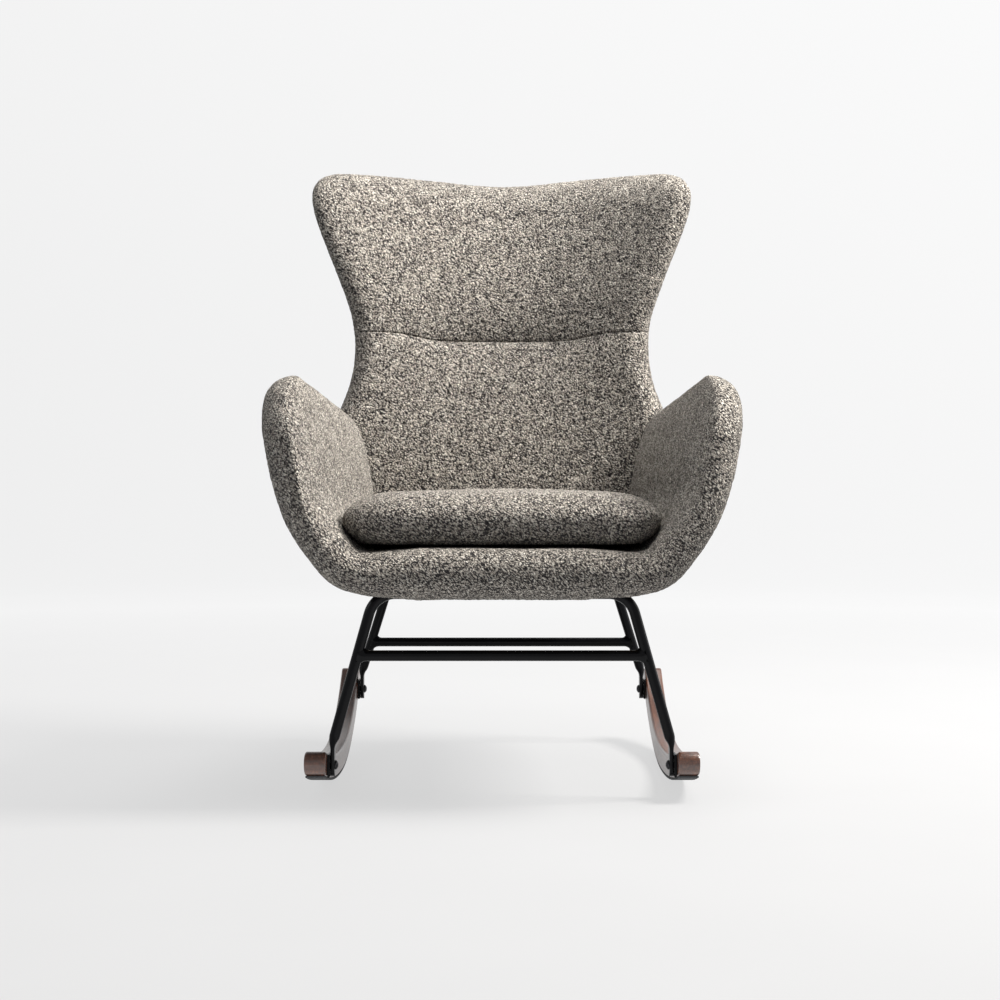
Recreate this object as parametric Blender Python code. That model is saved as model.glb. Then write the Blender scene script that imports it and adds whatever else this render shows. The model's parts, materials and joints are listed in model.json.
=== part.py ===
"""Wing-back rocking chair: bent steel leg frames on two wooden rockers, carrying an
upholstered tub seat with arms, a waisted back with a flared head panel, and a loose cushion.

Units are metres, +Z is up, the sitter faces -Y, and "left" is the sitter's left (+X).
"""

import math

import bmesh
import bpy
import numpy as np
from mathutils import Vector

# ---------------------------------------------------------------- driving dimensions
GAP = 0.0003  # clearance that touching pieces keep

FRONT_Y = -0.2744  # plane of the front leg frame
FRAME_PITCH = 0.560  # front bolts to rear bolts
REAR_Y = FRONT_Y + FRAME_PITCH

TUBE_R = 0.008
TOP_RUN_Z = 0.3037  # centreline of both top runs
TUBE_BEND_R = 0.040
BAR_SIDES = 24
TAB_X = 0.2503  # middle of the flattened tube ends
TAB_HALF_T = 0.0033
TAB_HALF_W = 0.0115
TAB_DROP = 0.017  # tab below its bolt
LEG_SLOPE = {"front": 0.281, "rear": 0.31}
LEG_TOP_X = {"front": 0.1885, "rear": 0.196}  # where leg and top run centrelines cross
BAR_Z = {"front": 0.212, "rear": 0.181}

ROCKER_INNER_X = 0.258
ROCKER_T = 0.031
ROCKER_H = 0.035
ROCKER_EDGE = 0.0035
STRIP_T = 0.003
STRIP_INSET = 0.0012
CONTACT_Y = FRONT_Y + 0.272  # where the rockers touch the floor
FRONT_R, BACK_R = 1.25, 0.58  # radii of the two arcs of the rocker's centreline
NOSE_REACH = 0.312  # contact to the front end
TAIL_REACH = 0.330  # contact to the rear end
STATION_DEG = 1.9

BOLT_R = 0.004
HEAD_R, HEAD_H = 0.007, 0.0042
SOCKET_R, SOCKET_DEPTH = 0.0029, 0.0024
INSERT_R, INSERT_LEN = 0.0055, 0.019
SPACER_HALF_Y, SPACER_HALF_Z = 0.0125, 0.017

PLATE_X = 0.125  # seat plates on the top runs
PLATE_SIZE = (0.060, 0.038, 0.003)
SEAT_BOLT_R = 0.003
BOARD_T = 0.015
BOARD_HALF_X = 0.2045
BOARD_FRONT_Y = FRONT_Y - 0.034
BOARD_REAR_Y = FRONT_Y + 0.552
BOARD_Z = TOP_RUN_Z + TUBE_R + GAP + PLATE_SIZE[2] + GAP  # underside of the seat board

TUB_FRONT_Y = FRONT_Y - 0.110
ARM_SETBACK = 0.028  # how far the arm tips stand behind the front of the seat
TUB_T_BASE, TUB_T_CORNER, TUB_T_ARM = 0.074, 0.057, 0.086
RIM_R = 0.042  # rounding of the tub's front and top edges
INNER_ROUND = 1.9  # the inner side of an arm rounds off over a longer way than its outer side
INNER_LEAN = 0.16  # inner half of an arm at its front, as a share of its half at the back
LEAN_DEPTH = 0.45
LEAN_SHARES = (0.46, 0.68)  # along the tub's middle line, where the lean begins and is whole
TIP_CORNER_R = 0.115
RIM_STEPS = 6
ARM_ROWS, BASE_ROWS, DEPTH_COLUMNS = 11, 10, 12
BACK_HALF_T = 0.042
BACK_SPAN = 0.62  # about how wide and how high the back is
BACK_GRID, BOARD_GRID = (25, 20), (17, 14)  # rows and columns
BACK_BOARD_T = 0.005
COVER_T = 0.008
PAD_T = 0.026  # foam on the front of the back
ARM_BOARD_T = 0.012
ARM_BOARD_FRONT = 0.14  # from the tub's front edge to the board in the arm
ARM_BOARD_SHARES = (0.52, 0.84)  # where the board lies along the tub's middle line
LINE_POINTS, OUTLINE_POINTS = 200, 260
BOARD_SHRINK = 0.90  # back board against the back's outline
BOARD_SETBACK = 0.0022  # its front face behind the back's middle surface

CUSHION_Z = (0.3775, 0.462)
CUSHION_FRONT_Y = FRONT_Y - 0.075
CUSHION_REAR_Y = FRONT_Y + 0.450
CUSHION_HALF_X = 0.2465
CUSHION_TAPER = 0.050  # how much narrower each side is at the rear
CORNER_POWER = 0.32  # of the rounded outline: 1 is an ellipse, and near 0 is a rectangle

SIDES = {"left": 1.0, "right": -1.0}
ENDS = {"front": FRONT_Y, "rear": REAR_Y}

# The tub's middle line, from the middle of the seat out and up to the top of an arm, as
# (x, z) points at the front of the chair and where the arms meet the back.
TUB_LINE_FRONT = [
    (0.0, 0.3365), (0.09, 0.3365), (0.15, 0.3365), (0.192, 0.3380), (0.2245, 0.3475),
    (0.2535, 0.3770), (0.2800, 0.4230), (0.2890, 0.4540), (0.2950, 0.4872), (0.3000, 0.521),
    (0.3075, 0.5600), (0.3095, 0.600), (0.3075, 0.633),
]
TUB_LINE_REAR = [
    (0.0, 0.3365), (0.08, 0.3365), (0.135, 0.3365), (0.175, 0.3395), (0.204, 0.3525),
    (0.229, 0.3800), (0.248, 0.4200), (0.258, 0.4550), (0.2645, 0.4900), (0.269, 0.5180),
    (0.272, 0.5420), (0.273, 0.5650), (0.272, 0.584),
]
ARM_FROM = 0.46  # share of the middle line where seat base ends and arm begins
ARM_JOINT = 0.0016  # gap between them, as a share

# Half of the back's outline as (x, z), from the bottom middle round to the top middle.
BACK_OUTLINE = [
    (0.0, 0.3335), (0.12, 0.3335), (0.195, 0.3400), (0.243, 0.364), (0.277, 0.402),
    (0.297, 0.450), (0.305, 0.500), (0.300, 0.548), (0.285, 0.592), (0.270, 0.632),
    (0.261, 0.672), (0.2585, 0.712), (0.2625, 0.752), (0.2725, 0.787), (0.286, 0.825),
    (0.303, 0.868), (0.320, 0.912), (0.3315, 0.950), (0.3335, 0.980), (0.322, 1.004),
    (0.297, 1.015), (0.250, 1.0185), (0.190, 1.0185), (0.120, 1.0155), (0.055, 1.0105),
    (0.0, 1.0080),
]
BACK_CORNERS = (4, 19)  # outline points where its sides begin and end
SEAM_P = 0.554  # height of the seam between lower back and head panel, as a share
# Middle surface of the back: its depth behind the front legs, and how far its sides curve
# forward 0.3 m from the middle, both against height.
BACK_DEPTH = [(0.31, 0.500), (0.50, 0.517), (0.60, 0.532), (0.80, 0.571), (1.02, 0.630)]
BACK_WRAP = [(0.31, 0.0), (0.45, 0.022), (0.60, 0.045), (0.72, 0.068), (0.85, 0.090),
             (1.02, 0.090)]


# ---------------------------------------------------------------- materials and objects
def make_material(name, colour, roughness, metallic=0.0):
    material = bpy.data.materials.new(name)
    material.use_nodes = True
    shader = material.node_tree.nodes["Principled BSDF"]
    shader.inputs["Base Color"].default_value = (*colour, 1.0)
    shader.inputs["Roughness"].default_value = roughness
    shader.inputs["Metallic"].default_value = metallic
    material.diffuse_color = (*colour, 1.0)
    return material


LOOKS = {
    "boucle": ((0.33, 0.29, 0.25), 0.95, 0.0),
    "tube": ((0.012, 0.012, 0.013), 0.32, 0.0),
    "wood": ((0.20, 0.085, 0.055), 0.38, 0.0),
    "strip": ((0.035, 0.036, 0.040), 0.85, 0.0),
    "bolt": ((0.02, 0.02, 0.022), 0.35, 1.0),
    "zinc": ((0.55, 0.55, 0.57), 0.40, 1.0),
    "plywood": ((0.55, 0.40, 0.25), 0.65, 0.0),
    "lining": ((0.02, 0.02, 0.02), 0.90, 0.0),
}


def clear_scene():
    for obj in list(bpy.data.objects):
        bpy.data.objects.remove(obj, do_unlink=True)


def add_object(name, bm, look, smooth_deg=40.0):
    """Closes a bmesh into a named object with its own material, its faces pointing out."""
    bmesh.ops.remove_doubles(bm, verts=bm.verts, dist=1e-6)
    bmesh.ops.dissolve_degenerate(bm, edges=bm.edges, dist=1e-6)
    bmesh.ops.recalc_face_normals(bm, faces=bm.faces)
    mesh = bpy.data.meshes.new(name)
    bm.to_mesh(mesh)
    bm.free()
    mesh.shade_smooth()
    mesh.set_sharp_from_angle(angle=math.radians(smooth_deg))
    obj = bpy.data.objects.new(name, mesh)
    bpy.context.scene.collection.objects.link(obj)
    if look:
        mesh.materials.append(make_material(name, *LOOKS[look]))
    return obj


def cut(obj, cutters):
    """Subtracts each cutter from the object, and applies it."""
    for cutter in cutters:
        cutter.hide_render = True
        cutter.display_type = "WIRE"
        modifier = obj.modifiers.new("cut", "BOOLEAN")
        modifier.operation = "DIFFERENCE"
        modifier.object = cutter


# ---------------------------------------------------------------- geometry helpers
def spline(points, count):
    """Points along a smooth curve through the given ones (centripetal Catmull-Rom)."""
    pts = np.array(points, float)
    pts = np.vstack([2 * pts[0] - pts[1], pts, 2 * pts[-1] - pts[-2]])
    knots = np.concatenate([[0], np.cumsum(np.linalg.norm(np.diff(pts, axis=0), axis=1) ** 0.5)])
    at = np.linspace(knots[1], knots[-2], 24 * len(points))
    out = []
    for t in at:
        i = min(max(np.searchsorted(knots, t, "right") - 1, 1), len(pts) - 3)
        t0, t1, t2, t3 = knots[i - 1:i + 3]
        p0, p1, p2, p3 = pts[i - 1:i + 3]
        a1 = (t1 - t) / (t1 - t0) * p0 + (t - t0) / (t1 - t0) * p1
        a2 = (t2 - t) / (t2 - t1) * p1 + (t - t1) / (t2 - t1) * p2
        a3 = (t3 - t) / (t3 - t2) * p2 + (t - t2) / (t3 - t2) * p3
        b1 = (t2 - t) / (t2 - t0) * a1 + (t - t0) / (t2 - t0) * a2
        b2 = (t3 - t) / (t3 - t1) * a2 + (t - t1) / (t3 - t1) * a3
        out.append((t2 - t) / (t2 - t1) * b1 + (t - t1) / (t2 - t1) * b2)
    return resample(np.array(out), count)


def resample(line, count):
    """The same line with evenly spaced points."""
    run = np.concatenate([[0], np.cumsum(np.linalg.norm(np.diff(line, axis=0), axis=1))])
    at = np.linspace(0, run[-1], count)
    return np.stack([np.interp(at, run, line[:, k]) for k in range(line.shape[1])], 1)


def curve_at(table, height):
    return np.interp(height, [p[0] for p in table], [p[1] for p in table])


def loft(rings, cap=True):
    """A closed bmesh through rings of equal length; each ring is a list of points."""
    bm = bmesh.new()
    rows = [[bm.verts.new(p) for p in ring] for ring in rings]
    for a, b in zip(rows, rows[1:]):
        for k in range(len(a)):
            bm.faces.new((a[k], a[(k + 1) % len(a)], b[(k + 1) % len(b)], b[k]))
    if cap:
        bm.faces.new(rows[0])
        bm.faces.new(rows[-1])
    return bm


def turned(profile, centre, axis, count=16):
    """A solid of revolution: profile is (distance along the axis, radius) points."""
    axis = Vector(axis).normalized()
    u = axis.orthogonal().normalized()
    w = axis.cross(u)
    rings = []
    for along, radius in profile:
        base = Vector(centre) + axis * along
        rings.append([base + radius * (u * math.cos(t) + w * math.sin(t))
                      for t in np.linspace(0, 2 * math.pi, count, endpoint=False)])
    return loft(rings)


def box_bmesh(low, high, edge=0.0):
    bm = bmesh.new()
    bmesh.ops.create_cube(bm, size=1.0)
    for vert in bm.verts:
        vert.co = [low[k] + (vert.co[k] + 0.5) * (high[k] - low[k]) for k in range(3)]
    if edge:
        bmesh.ops.bevel(bm, geom=bm.edges[:], offset=edge, segments=2, affect="EDGES")
    return bm


def border(rows, columns):
    """Index pairs round the edge of a grid, in order."""
    return ([(i, 0) for i in range(rows)] + [(rows - 1, j) for j in range(1, columns)]
            + [(i, columns - 1) for i in range(rows - 2, -1, -1)]
            + [(0, j) for j in range(columns - 2, 0, -1)])


def add_skin(bm, grid):
    """Adds a grid of points, shaped (rows, columns, 3), as quads, and returns its vertices."""
    verts = [[bm.verts.new(p) for p in row] for row in grid]
    for low, high in zip(verts, verts[1:]):
        for j in range(len(low) - 1):
            bm.faces.new((low[j], high[j], high[j + 1], low[j + 1]))
    return verts


def sheet_solid(front, back):
    """Closes two grids of points into one solid."""
    bm = bmesh.new()
    a, b = add_skin(bm, front), add_skin(bm, back)
    loop = border(len(front), len(front[0]))
    for (i, j), (k, m) in zip(loop, loop[1:] + loop[:1]):
        bm.faces.new((a[k][m], a[i][j], b[i][j], b[k][m]))
    return bm


def bowl_solid(outer, inner, rim_out, rim_in):
    """A wall between two grids, joined by a flat lip round their edges."""
    bm = bmesh.new()
    skin_out, skin_in = add_skin(bm, outer), add_skin(bm, inner)
    loop = border(*outer.shape[:2])
    lip_out = {at: bm.verts.new(rim_out[at]) for at in loop}
    lip_in = {at: bm.verts.new(rim_in[at]) for at in loop}
    for a, b in zip(loop, loop[1:] + loop[:1]):
        outer_a, outer_b = skin_out[a[0]][a[1]], skin_out[b[0]][b[1]]
        inner_a, inner_b = skin_in[a[0]][a[1]], skin_in[b[0]][b[1]]
        bm.faces.new((outer_a, outer_b, lip_out[b], lip_out[a]))
        bm.faces.new((lip_out[a], lip_out[b], lip_in[b], lip_in[a]))
        bm.faces.new((lip_in[a], lip_in[b], inner_b, inner_a))
    return bm


def rim_steps(radius):
    """Distances from a rounded rim, close together where its surface turns."""
    return radius * (1 - np.cos(np.linspace(0, math.pi / 2, RIM_STEPS)))


def round_profile(distance, radius):
    """How full a cushioned edge of this radius is, from 0 on its rim to 1 inside."""
    inside = np.clip(distance / radius, 0, 1)
    return np.sqrt(np.clip(1 - (1 - inside) ** 2, 0, 1))


# ---------------------------------------------------------------- rockers
def rocker_point(angle, offset):
    """A point offset outwards (down) from the centreline, at an angle from the contact."""
    radius = FRONT_R if angle < 0 else BACK_R
    centre_z = radius + STRIP_T + ROCKER_H / 2
    reach = radius + offset
    return (CONTACT_Y + reach * math.sin(angle), centre_z - reach * math.cos(angle))


def rocker_angles(end_cut=0.0):
    """Station angles, placed so that one flat facet of the strip lies on the floor."""
    first = -math.asin((NOSE_REACH - end_cut) / FRONT_R)
    last = math.asin((TAIL_REACH - end_cut) / BACK_R)
    step = math.radians(STATION_DEG)
    # Front steps rise as much as rear ones, so that the facet on the floor is level.
    front_step = step * math.sqrt(BACK_R / FRONT_R)
    ahead = [-(k + 0.5) * front_step for k in range(40)][::-1]
    behind = [(k + 0.5) * step for k in range(40)]
    inner = [a for a in ahead if a > first + 0.4 * front_step]
    inner += [a for a in behind if a < last - 0.4 * step]
    return [first] + inner + [last]


def rocker_z(y):
    """Height of the rocker's centreline at y."""
    radius = FRONT_R if y < CONTACT_Y else BACK_R
    return radius + STRIP_T + ROCKER_H / 2 - math.sqrt(radius ** 2 - (y - CONTACT_Y) ** 2)


BOLT_Z = {end: rocker_z(y) for end, y in ENDS.items()}


def rounded_section(half_w, half_h, edge):
    """Corner-rounded rectangle as (across, offset) points."""
    points = []
    for sx, sz, start in ((1, 1, 0), (-1, 1, 90), (-1, -1, 180), (1, -1, 270)):
        for a in (0, 30, 60, 90):
            t = math.radians(start + a)
            points.append((sx * (half_w - edge) + edge * math.cos(t),
                           sz * (half_h - edge) + edge * math.sin(t)))
    return points


def make_rocker(side, sign):
    end_r = ROCKER_H / 2
    middle_x = sign * (ROCKER_INNER_X + ROCKER_T / 2)
    rings = []
    angles = rocker_angles()
    round_ends = [(1 - math.cos(t), math.sin(t)) for t in np.linspace(0.35, math.pi / 2, 6)]
    nose = [(angles[0] + end_r * back / FRONT_R, full) for back, full in round_ends]
    tail = [(angles[-1] - end_r * back / BACK_R, full) for back, full in round_ends[::-1]]
    clear = 0.008
    between = [(a, 1.0) for a in angles if nose[-1][0] + clear < a < tail[0][0] - clear]
    stations = nose + between + tail
    for angle, full in stations:
        section = rounded_section(ROCKER_T / 2, ROCKER_H / 2 * full, ROCKER_EDGE * full)
        rings.append([(middle_x + across, *rocker_point(angle, offset))
                      for across, offset in section])
    rocker = add_object(f"rocker_{side}", loft(rings), "wood")
    depth = INSERT_LEN + 0.003
    holes = []
    for end, y in ENDS.items():
        bm = turned([(-0.01, INSERT_R + GAP), (depth, INSERT_R + GAP)],
                    (sign * ROCKER_INNER_X, y, BOLT_Z[end]), (sign, 0, 0))
        holes.append(add_object(f"cut_rocker_{end}_{side}", bm, None))
    cut(rocker, holes)


def make_strip(side, sign):
    """Grip strip under the rocker, flat-faceted so that one facet stands on the floor."""
    half = ROCKER_T / 2 - STRIP_INSET
    middle_x = sign * (ROCKER_INNER_X + ROCKER_T / 2)
    top, bottom = ROCKER_H / 2 + GAP, ROCKER_H / 2 + STRIP_T
    rings = []
    for angle in rocker_angles(end_cut=0.014):
        corners = ((-half, top), (half, top), (half, bottom), (-half, bottom))
        rings.append([(middle_x + across, *rocker_point(angle, offset))
                      for across, offset in corners])
    # The facets cut across the arc, so the strip is let down until they stand on the floor.
    bm = loft(rings)
    low = min(v.co.z for v in bm.verts)
    for vert in bm.verts:
        vert.co.z -= low
    add_object(f"grip_strip_{side}", bm, "strip", smooth_deg=20)


# ---------------------------------------------------------------- tube frames
def filleted(points, radii, step):
    """A flat polyline with its inner corners rounded, as evenly stepped (x, z) points."""
    pts = [np.array(p, float) for p in points]
    out = [pts[0]]
    for i in range(1, len(pts) - 1):
        a, b, c, r = pts[i - 1], pts[i], pts[i + 1], radii[i - 1]
        u = (a - b) / np.linalg.norm(a - b)
        w = (c - b) / np.linalg.norm(c - b)
        half = math.acos(float(np.clip(u @ w, -1, 1))) / 2
        centre = b + (u + w) / np.linalg.norm(u + w) * r / math.sin(half)
        start, stop = b + u * r / math.tan(half), b + w * r / math.tan(half)
        sweep = math.pi - 2 * half
        for t in np.linspace(0, 1, max(3, int(sweep * r / step) + 2)):
            ray = (1 - t) * (start - centre) + t * (stop - centre)
            out.append(centre + ray / np.linalg.norm(ray) * r)
    out.append(pts[-1])
    return np.array(out)


def leg_path(end):
    """Half of a leg frame's centreline: middle of the top run to the end of a tab."""
    slope, corner = LEG_SLOPE[end], LEG_TOP_X[end]
    knee_z = TOP_RUN_Z - (TAB_X - corner) / slope
    tab_end = BOLT_Z[end] - TAB_DROP
    path = filleted([(0, TOP_RUN_Z), (corner, TOP_RUN_Z), (TAB_X, knee_z), (TAB_X, tab_end)],
                    [TUBE_BEND_R, 0.05], 0.010)
    keep = [path[0]]
    for a, b in zip(path, path[1:]):
        pieces = 1
        if b[1] < knee_z + 0.03 and b[1] < a[1]:
            pieces = max(1, int(np.linalg.norm(b - a) / 0.007))
        keep += [a + (b - a) * k / pieces for k in range(1, pieces + 1)]
    return np.array(keep), knee_z


def make_leg_frame(end, y):
    path, knee_z = leg_path(end)
    tab_end = path[-1][1]
    flat_from, flat_to = knee_z + 0.022, knee_z - 0.002
    whole = np.vstack([path[:0:-1] * (-1, 1), path])
    rings = []
    for i, (x, z) in enumerate(whole):
        ahead = whole[min(i + 1, len(whole) - 1)] - whole[max(i - 1, 0)]
        ahead /= np.linalg.norm(ahead)
        normal = np.array([-ahead[1], ahead[0]])
        flat = float(np.clip((flat_from - z) / (flat_from - flat_to), 0, 1))
        flat = flat * flat * (3 - 2 * flat)
        a = TUBE_R + (TAB_HALF_T - TUBE_R) * flat
        b = TUBE_R + (TAB_HALF_W - TUBE_R) * flat
        power = 1 - 0.55 * flat  # a flattened end is closer to a rectangle
        left = z - tab_end
        if left < TAB_HALF_W:
            b *= max(math.sqrt(max(1 - (1 - left / TAB_HALF_W) ** 2, 0)), 0.32)
        ring = []
        for t in np.linspace(0, 2 * math.pi, 12, endpoint=False):
            c, s = math.cos(t), math.sin(t)
            across = a * math.copysign(abs(c) ** power, c)
            ring.append((x + normal[0] * across,
                         y + b * math.copysign(abs(s) ** power, s), z + normal[1] * across))
        rings.append(ring)
    frame = add_object(f"{end}_leg_frame", loft(rings), "tube")
    holes = []
    for side, sign in SIDES.items():
        bm = turned([(-0.012, BOLT_R + GAP), (0.012, BOLT_R + GAP)],
                    (sign * TAB_X, y, BOLT_Z[end]), (sign, 0, 0))
        holes.append(add_object(f"cut_tab_{end}_{side}", bm, None))
    cut(frame, holes)


def make_crossbar(end, y):
    """Bar between the legs, its ends coped to fit round the sloping tubes."""
    slope = LEG_SLOPE[end]
    z0 = BAR_Z[end]
    leg_x = LEG_TOP_X[end] + slope * (TOP_RUN_Z - z0)
    tilt = math.atan(slope)
    rings = []
    for sign in (-1, 1):
        ring = []
        for t in np.linspace(0, 2 * math.pi, BAR_SIDES, endpoint=False):
            dy, dz = TUBE_R * math.cos(t), TUBE_R * math.sin(t)
            reach = math.sqrt((TUBE_R + GAP) ** 2 - dy ** 2) / math.cos(tilt)
            ring.append((sign * (leg_x - slope * dz - reach), y + dy, z0 + dz))
        rings.append(ring)
    bm = loft(rings, cap=False)
    bm.verts.ensure_lookup_table()
    # Each coped end is closed by strips across the bar, which lie on the leg's round.
    for first in (0, BAR_SIDES):
        for k in range(BAR_SIDES // 2):
            corners = {k: 0, k + 1: 0, (-k - 1) % BAR_SIDES: 0, -k % BAR_SIDES: 0}
            bm.faces.new([bm.verts[first + index] for index in corners])
    add_object(f"{end}_crossbar", bm, "tube")


# ---------------------------------------------------------------- fasteners at the rockers
def make_rocker_joint(end, y, side, sign):
    z = BOLT_Z[end]
    tab_face = TAB_X + TAB_HALF_T
    name = f"{end}_{side}"
    low_x, high_x = sorted((sign * (tab_face + GAP), sign * (ROCKER_INNER_X - GAP)))
    spacer = add_object(f"rocker_spacer_{name}", box_bmesh(
        (low_x, y - SPACER_HALF_Y, z - SPACER_HALF_Z),
        (high_x, y + SPACER_HALF_Y, z + SPACER_HALF_Z), 0.0008), "tube")
    hole = turned([(-0.02, BOLT_R + GAP), (0.02, BOLT_R + GAP)],
                  (sign * ROCKER_INNER_X, y, z), (sign, 0, 0))
    cut(spacer, [add_object(f"cut_spacer_{name}", hole, None)])

    start = TAB_X - TAB_HALF_T - GAP - HEAD_H
    length = ROCKER_INNER_X + INSERT_LEN - 0.002 - start
    dome = [(0.0, HEAD_R * 0.42), (HEAD_H * 0.18, HEAD_R * 0.66), (HEAD_H * 0.45, HEAD_R * 0.88),
            (HEAD_H * 0.72, HEAD_R), (HEAD_H, HEAD_R)]
    shank = [(HEAD_H, BOLT_R), (length - 0.001, BOLT_R), (length, BOLT_R - 0.001)]
    bolt = add_object(f"rocker_bolt_{name}",
                      turned(dome + shank, (sign * start, y, z), (sign, 0, 0)), "bolt")
    socket = turned([(-0.002, SOCKET_R), (SOCKET_DEPTH, SOCKET_R)],
                    (sign * start, y, z), (sign, 0, 0), count=6)
    cut(bolt, [add_object(f"cut_socket_{name}", socket, None)])

    insert = turned([(0, INSERT_R), (INSERT_LEN, INSERT_R)],
                    (sign * (ROCKER_INNER_X + GAP), y, z), (sign, 0, 0))
    insert = add_object(f"rocker_insert_{name}", insert, "zinc")
    bore = turned([(-0.01, BOLT_R + GAP), (0.04, BOLT_R + GAP)],
                  (sign * ROCKER_INNER_X, y, z), (sign, 0, 0))
    cut(insert, [add_object(f"cut_insert_{name}", bore, None)])


# ---------------------------------------------------------------- seat board and its fixings
def make_seat_fixing(end, y, side, sign):
    name = f"{end}_{side}"
    x = sign * PLATE_X
    inward = 1 if end == "front" else -1
    plate_low = TOP_RUN_Z + TUBE_R + GAP
    y_near, y_far = sorted((y - inward * TUBE_R, y + inward * (PLATE_SIZE[1] - TUBE_R)))
    plate = add_object(f"seat_plate_{name}", box_bmesh(
        (x - PLATE_SIZE[0] / 2, y_near, plate_low),
        (x + PLATE_SIZE[0] / 2, y_far, plate_low + PLATE_SIZE[2])), "tube")
    bolt_y = y + inward * 0.020
    hole = turned([(-0.02, SEAT_BOLT_R + GAP), (0.02, SEAT_BOLT_R + GAP)],
                  (x, bolt_y, plate_low), (0, 0, 1))
    cut(plate, [add_object(f"cut_plate_{name}", hole, None)])

    head = 0.004
    bottom = plate_low - GAP - head
    top = BOARD_Z + BOARD_T - 0.002 - bottom
    add_object(f"seat_bolt_{name}", turned(
        [(0, 0.003), (0.0015, 0.0055), (head, 0.0055), (head, SEAT_BOLT_R),
         (top, SEAT_BOLT_R)], (x, bolt_y, bottom), (0, 0, 1)), "bolt")

    nut_top = BOARD_Z + BOARD_T
    nut = add_object(f"seat_tee_nut_{name}", turned(
        [(-0.010, 0.0042), (-0.0015, 0.0042), (-0.0015, 0.0095), (-GAP, 0.0095)],
        (x, bolt_y, nut_top), (0, 0, 1)), "zinc")
    bore = turned([(-0.02, SEAT_BOLT_R + GAP), (0.02, SEAT_BOLT_R + GAP)],
                  (x, bolt_y, nut_top), (0, 0, 1))
    cut(nut, [add_object(f"cut_nut_{name}", bore, None)])
    return turned([(-0.03, 0.0045), (-0.0018, 0.0045), (-0.0018, 0.0098), (0.01, 0.0098)],
                  (x, bolt_y, nut_top), (0, 0, 1))


def make_seat_board(cutter_shapes):
    bm = box_bmesh((-BOARD_HALF_X, BOARD_FRONT_Y, BOARD_Z),
                   (BOARD_HALF_X, BOARD_REAR_Y, BOARD_Z + BOARD_T), 0.002)
    board = add_object("seat_board", bm, "plywood")
    cut(board, [add_object(f"cut_board_{k}", bm, None) for k, bm in enumerate(cutter_shapes)])


def make_dust_cover():
    top = BOARD_Z - GAP
    add_object("dust_cover", box_bmesh((-0.188, FRONT_Y + 0.040, top - 0.0012),
                                       (0.188, REAR_Y - 0.040, top)), "lining")


# ---------------------------------------------------------------- the back
def back_mid_y(x, z):
    depth = curve_at(BACK_DEPTH, z)
    return FRONT_Y + depth - curve_at(BACK_WRAP, z) * (np.abs(x) / 0.3) ** 2


def back_shares(count, cushioned):
    """Places along one side of the back's grid, closer together where its edge is round."""
    if not cushioned:
        return np.linspace(0, 1, count)
    near = BACK_HALF_T / BACK_SPAN * (1 - np.cos(np.linspace(0, math.pi / 2, 5)))
    middle = np.linspace(near[-1], 1 - near[-1], count - 8)[1:-1]
    return np.concatenate([near, middle, 1 - near[::-1]])


def back_grid(rows, columns, cushioned=True):
    """Grid of (x, z) over the back's outline, and each point's distance from the outline."""
    half = spline(BACK_OUTLINE, OUTLINE_POINTS)
    marks = [int(np.argmin(np.hypot(*(half - BACK_OUTLINE[k]).T))) for k in BACK_CORNERS]
    p, q = back_shares(rows, cushioned), back_shares(columns, cushioned)

    def sample(line, at):
        run = np.concatenate([[0], np.cumsum(np.linalg.norm(np.diff(line, axis=0), axis=1))])
        return np.stack([np.interp(at * run[-1], run, line[:, k]) for k in (0, 1)], 1)

    mirror = np.array([-1, 1])
    bottom = np.vstack([half[marks[0]:0:-1] * mirror, half[:marks[0] + 1]])
    top = np.vstack([half[marks[1]:] * mirror, half[:marks[1] - 1:-1]])
    right = half[marks[0]:marks[1] + 1]
    low, high = sample(bottom, q), sample(top, q)
    east, west = sample(right, p), sample(right, p) * mirror
    P, Q = p[:, None, None], q[None, :, None]
    grid = ((1 - P) * low[None] + P * high[None] + (1 - Q) * west[:, None] + Q * east[:, None]
            - (1 - P) * ((1 - Q) * low[0] + Q * low[-1]) - P * ((1 - Q) * high[0] + Q * high[-1]))
    outline = np.vstack([half, half[::-1] * mirror])
    away = np.linalg.norm(grid[:, :, None] - outline[None, None], axis=3).min(2)
    away[0], away[-1], away[:, 0], away[:, -1] = 0, 0, 0, 0
    return grid, away, p


def at_depth(grid, offset):
    """Places a grid at a depth behind the back's middle surface."""
    x, z = grid[..., 0], grid[..., 1]
    return np.stack([x, back_mid_y(x, z) + offset, z], -1)


def shrunk(grid, margin):
    """The grid drawn in towards its middle, by about this margin on every side."""
    points = grid.reshape(-1, 2)
    middle = points.mean(0)
    return middle + (grid - middle) * (1 - 2 * margin / np.ptp(points, axis=0))


def make_back_pads(grid, away, seam):
    """Foam pads of the lower back and the head, each hollowed out behind."""
    parts = {"back_lower_pad": (slice(0, seam + 1), 0.0), "head_pad": (slice(seam, None), GAP)}
    for name, (section, lift) in parts.items():
        piece = grid[section]
        full = BACK_HALF_T * round_profile(away[section], BACK_HALF_T)
        core = shrunk(piece, PAD_T)
        hollow = np.maximum(full - PAD_T, 0)
        up = np.array([0, 0, lift])
        solid = bowl_solid(at_depth(piece, -full) + up, at_depth(core, -hollow) + up,
                           at_depth(piece, 0.0) + up, at_depth(core, 0.0) + up)
        add_object(name, solid, "boucle")


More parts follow.
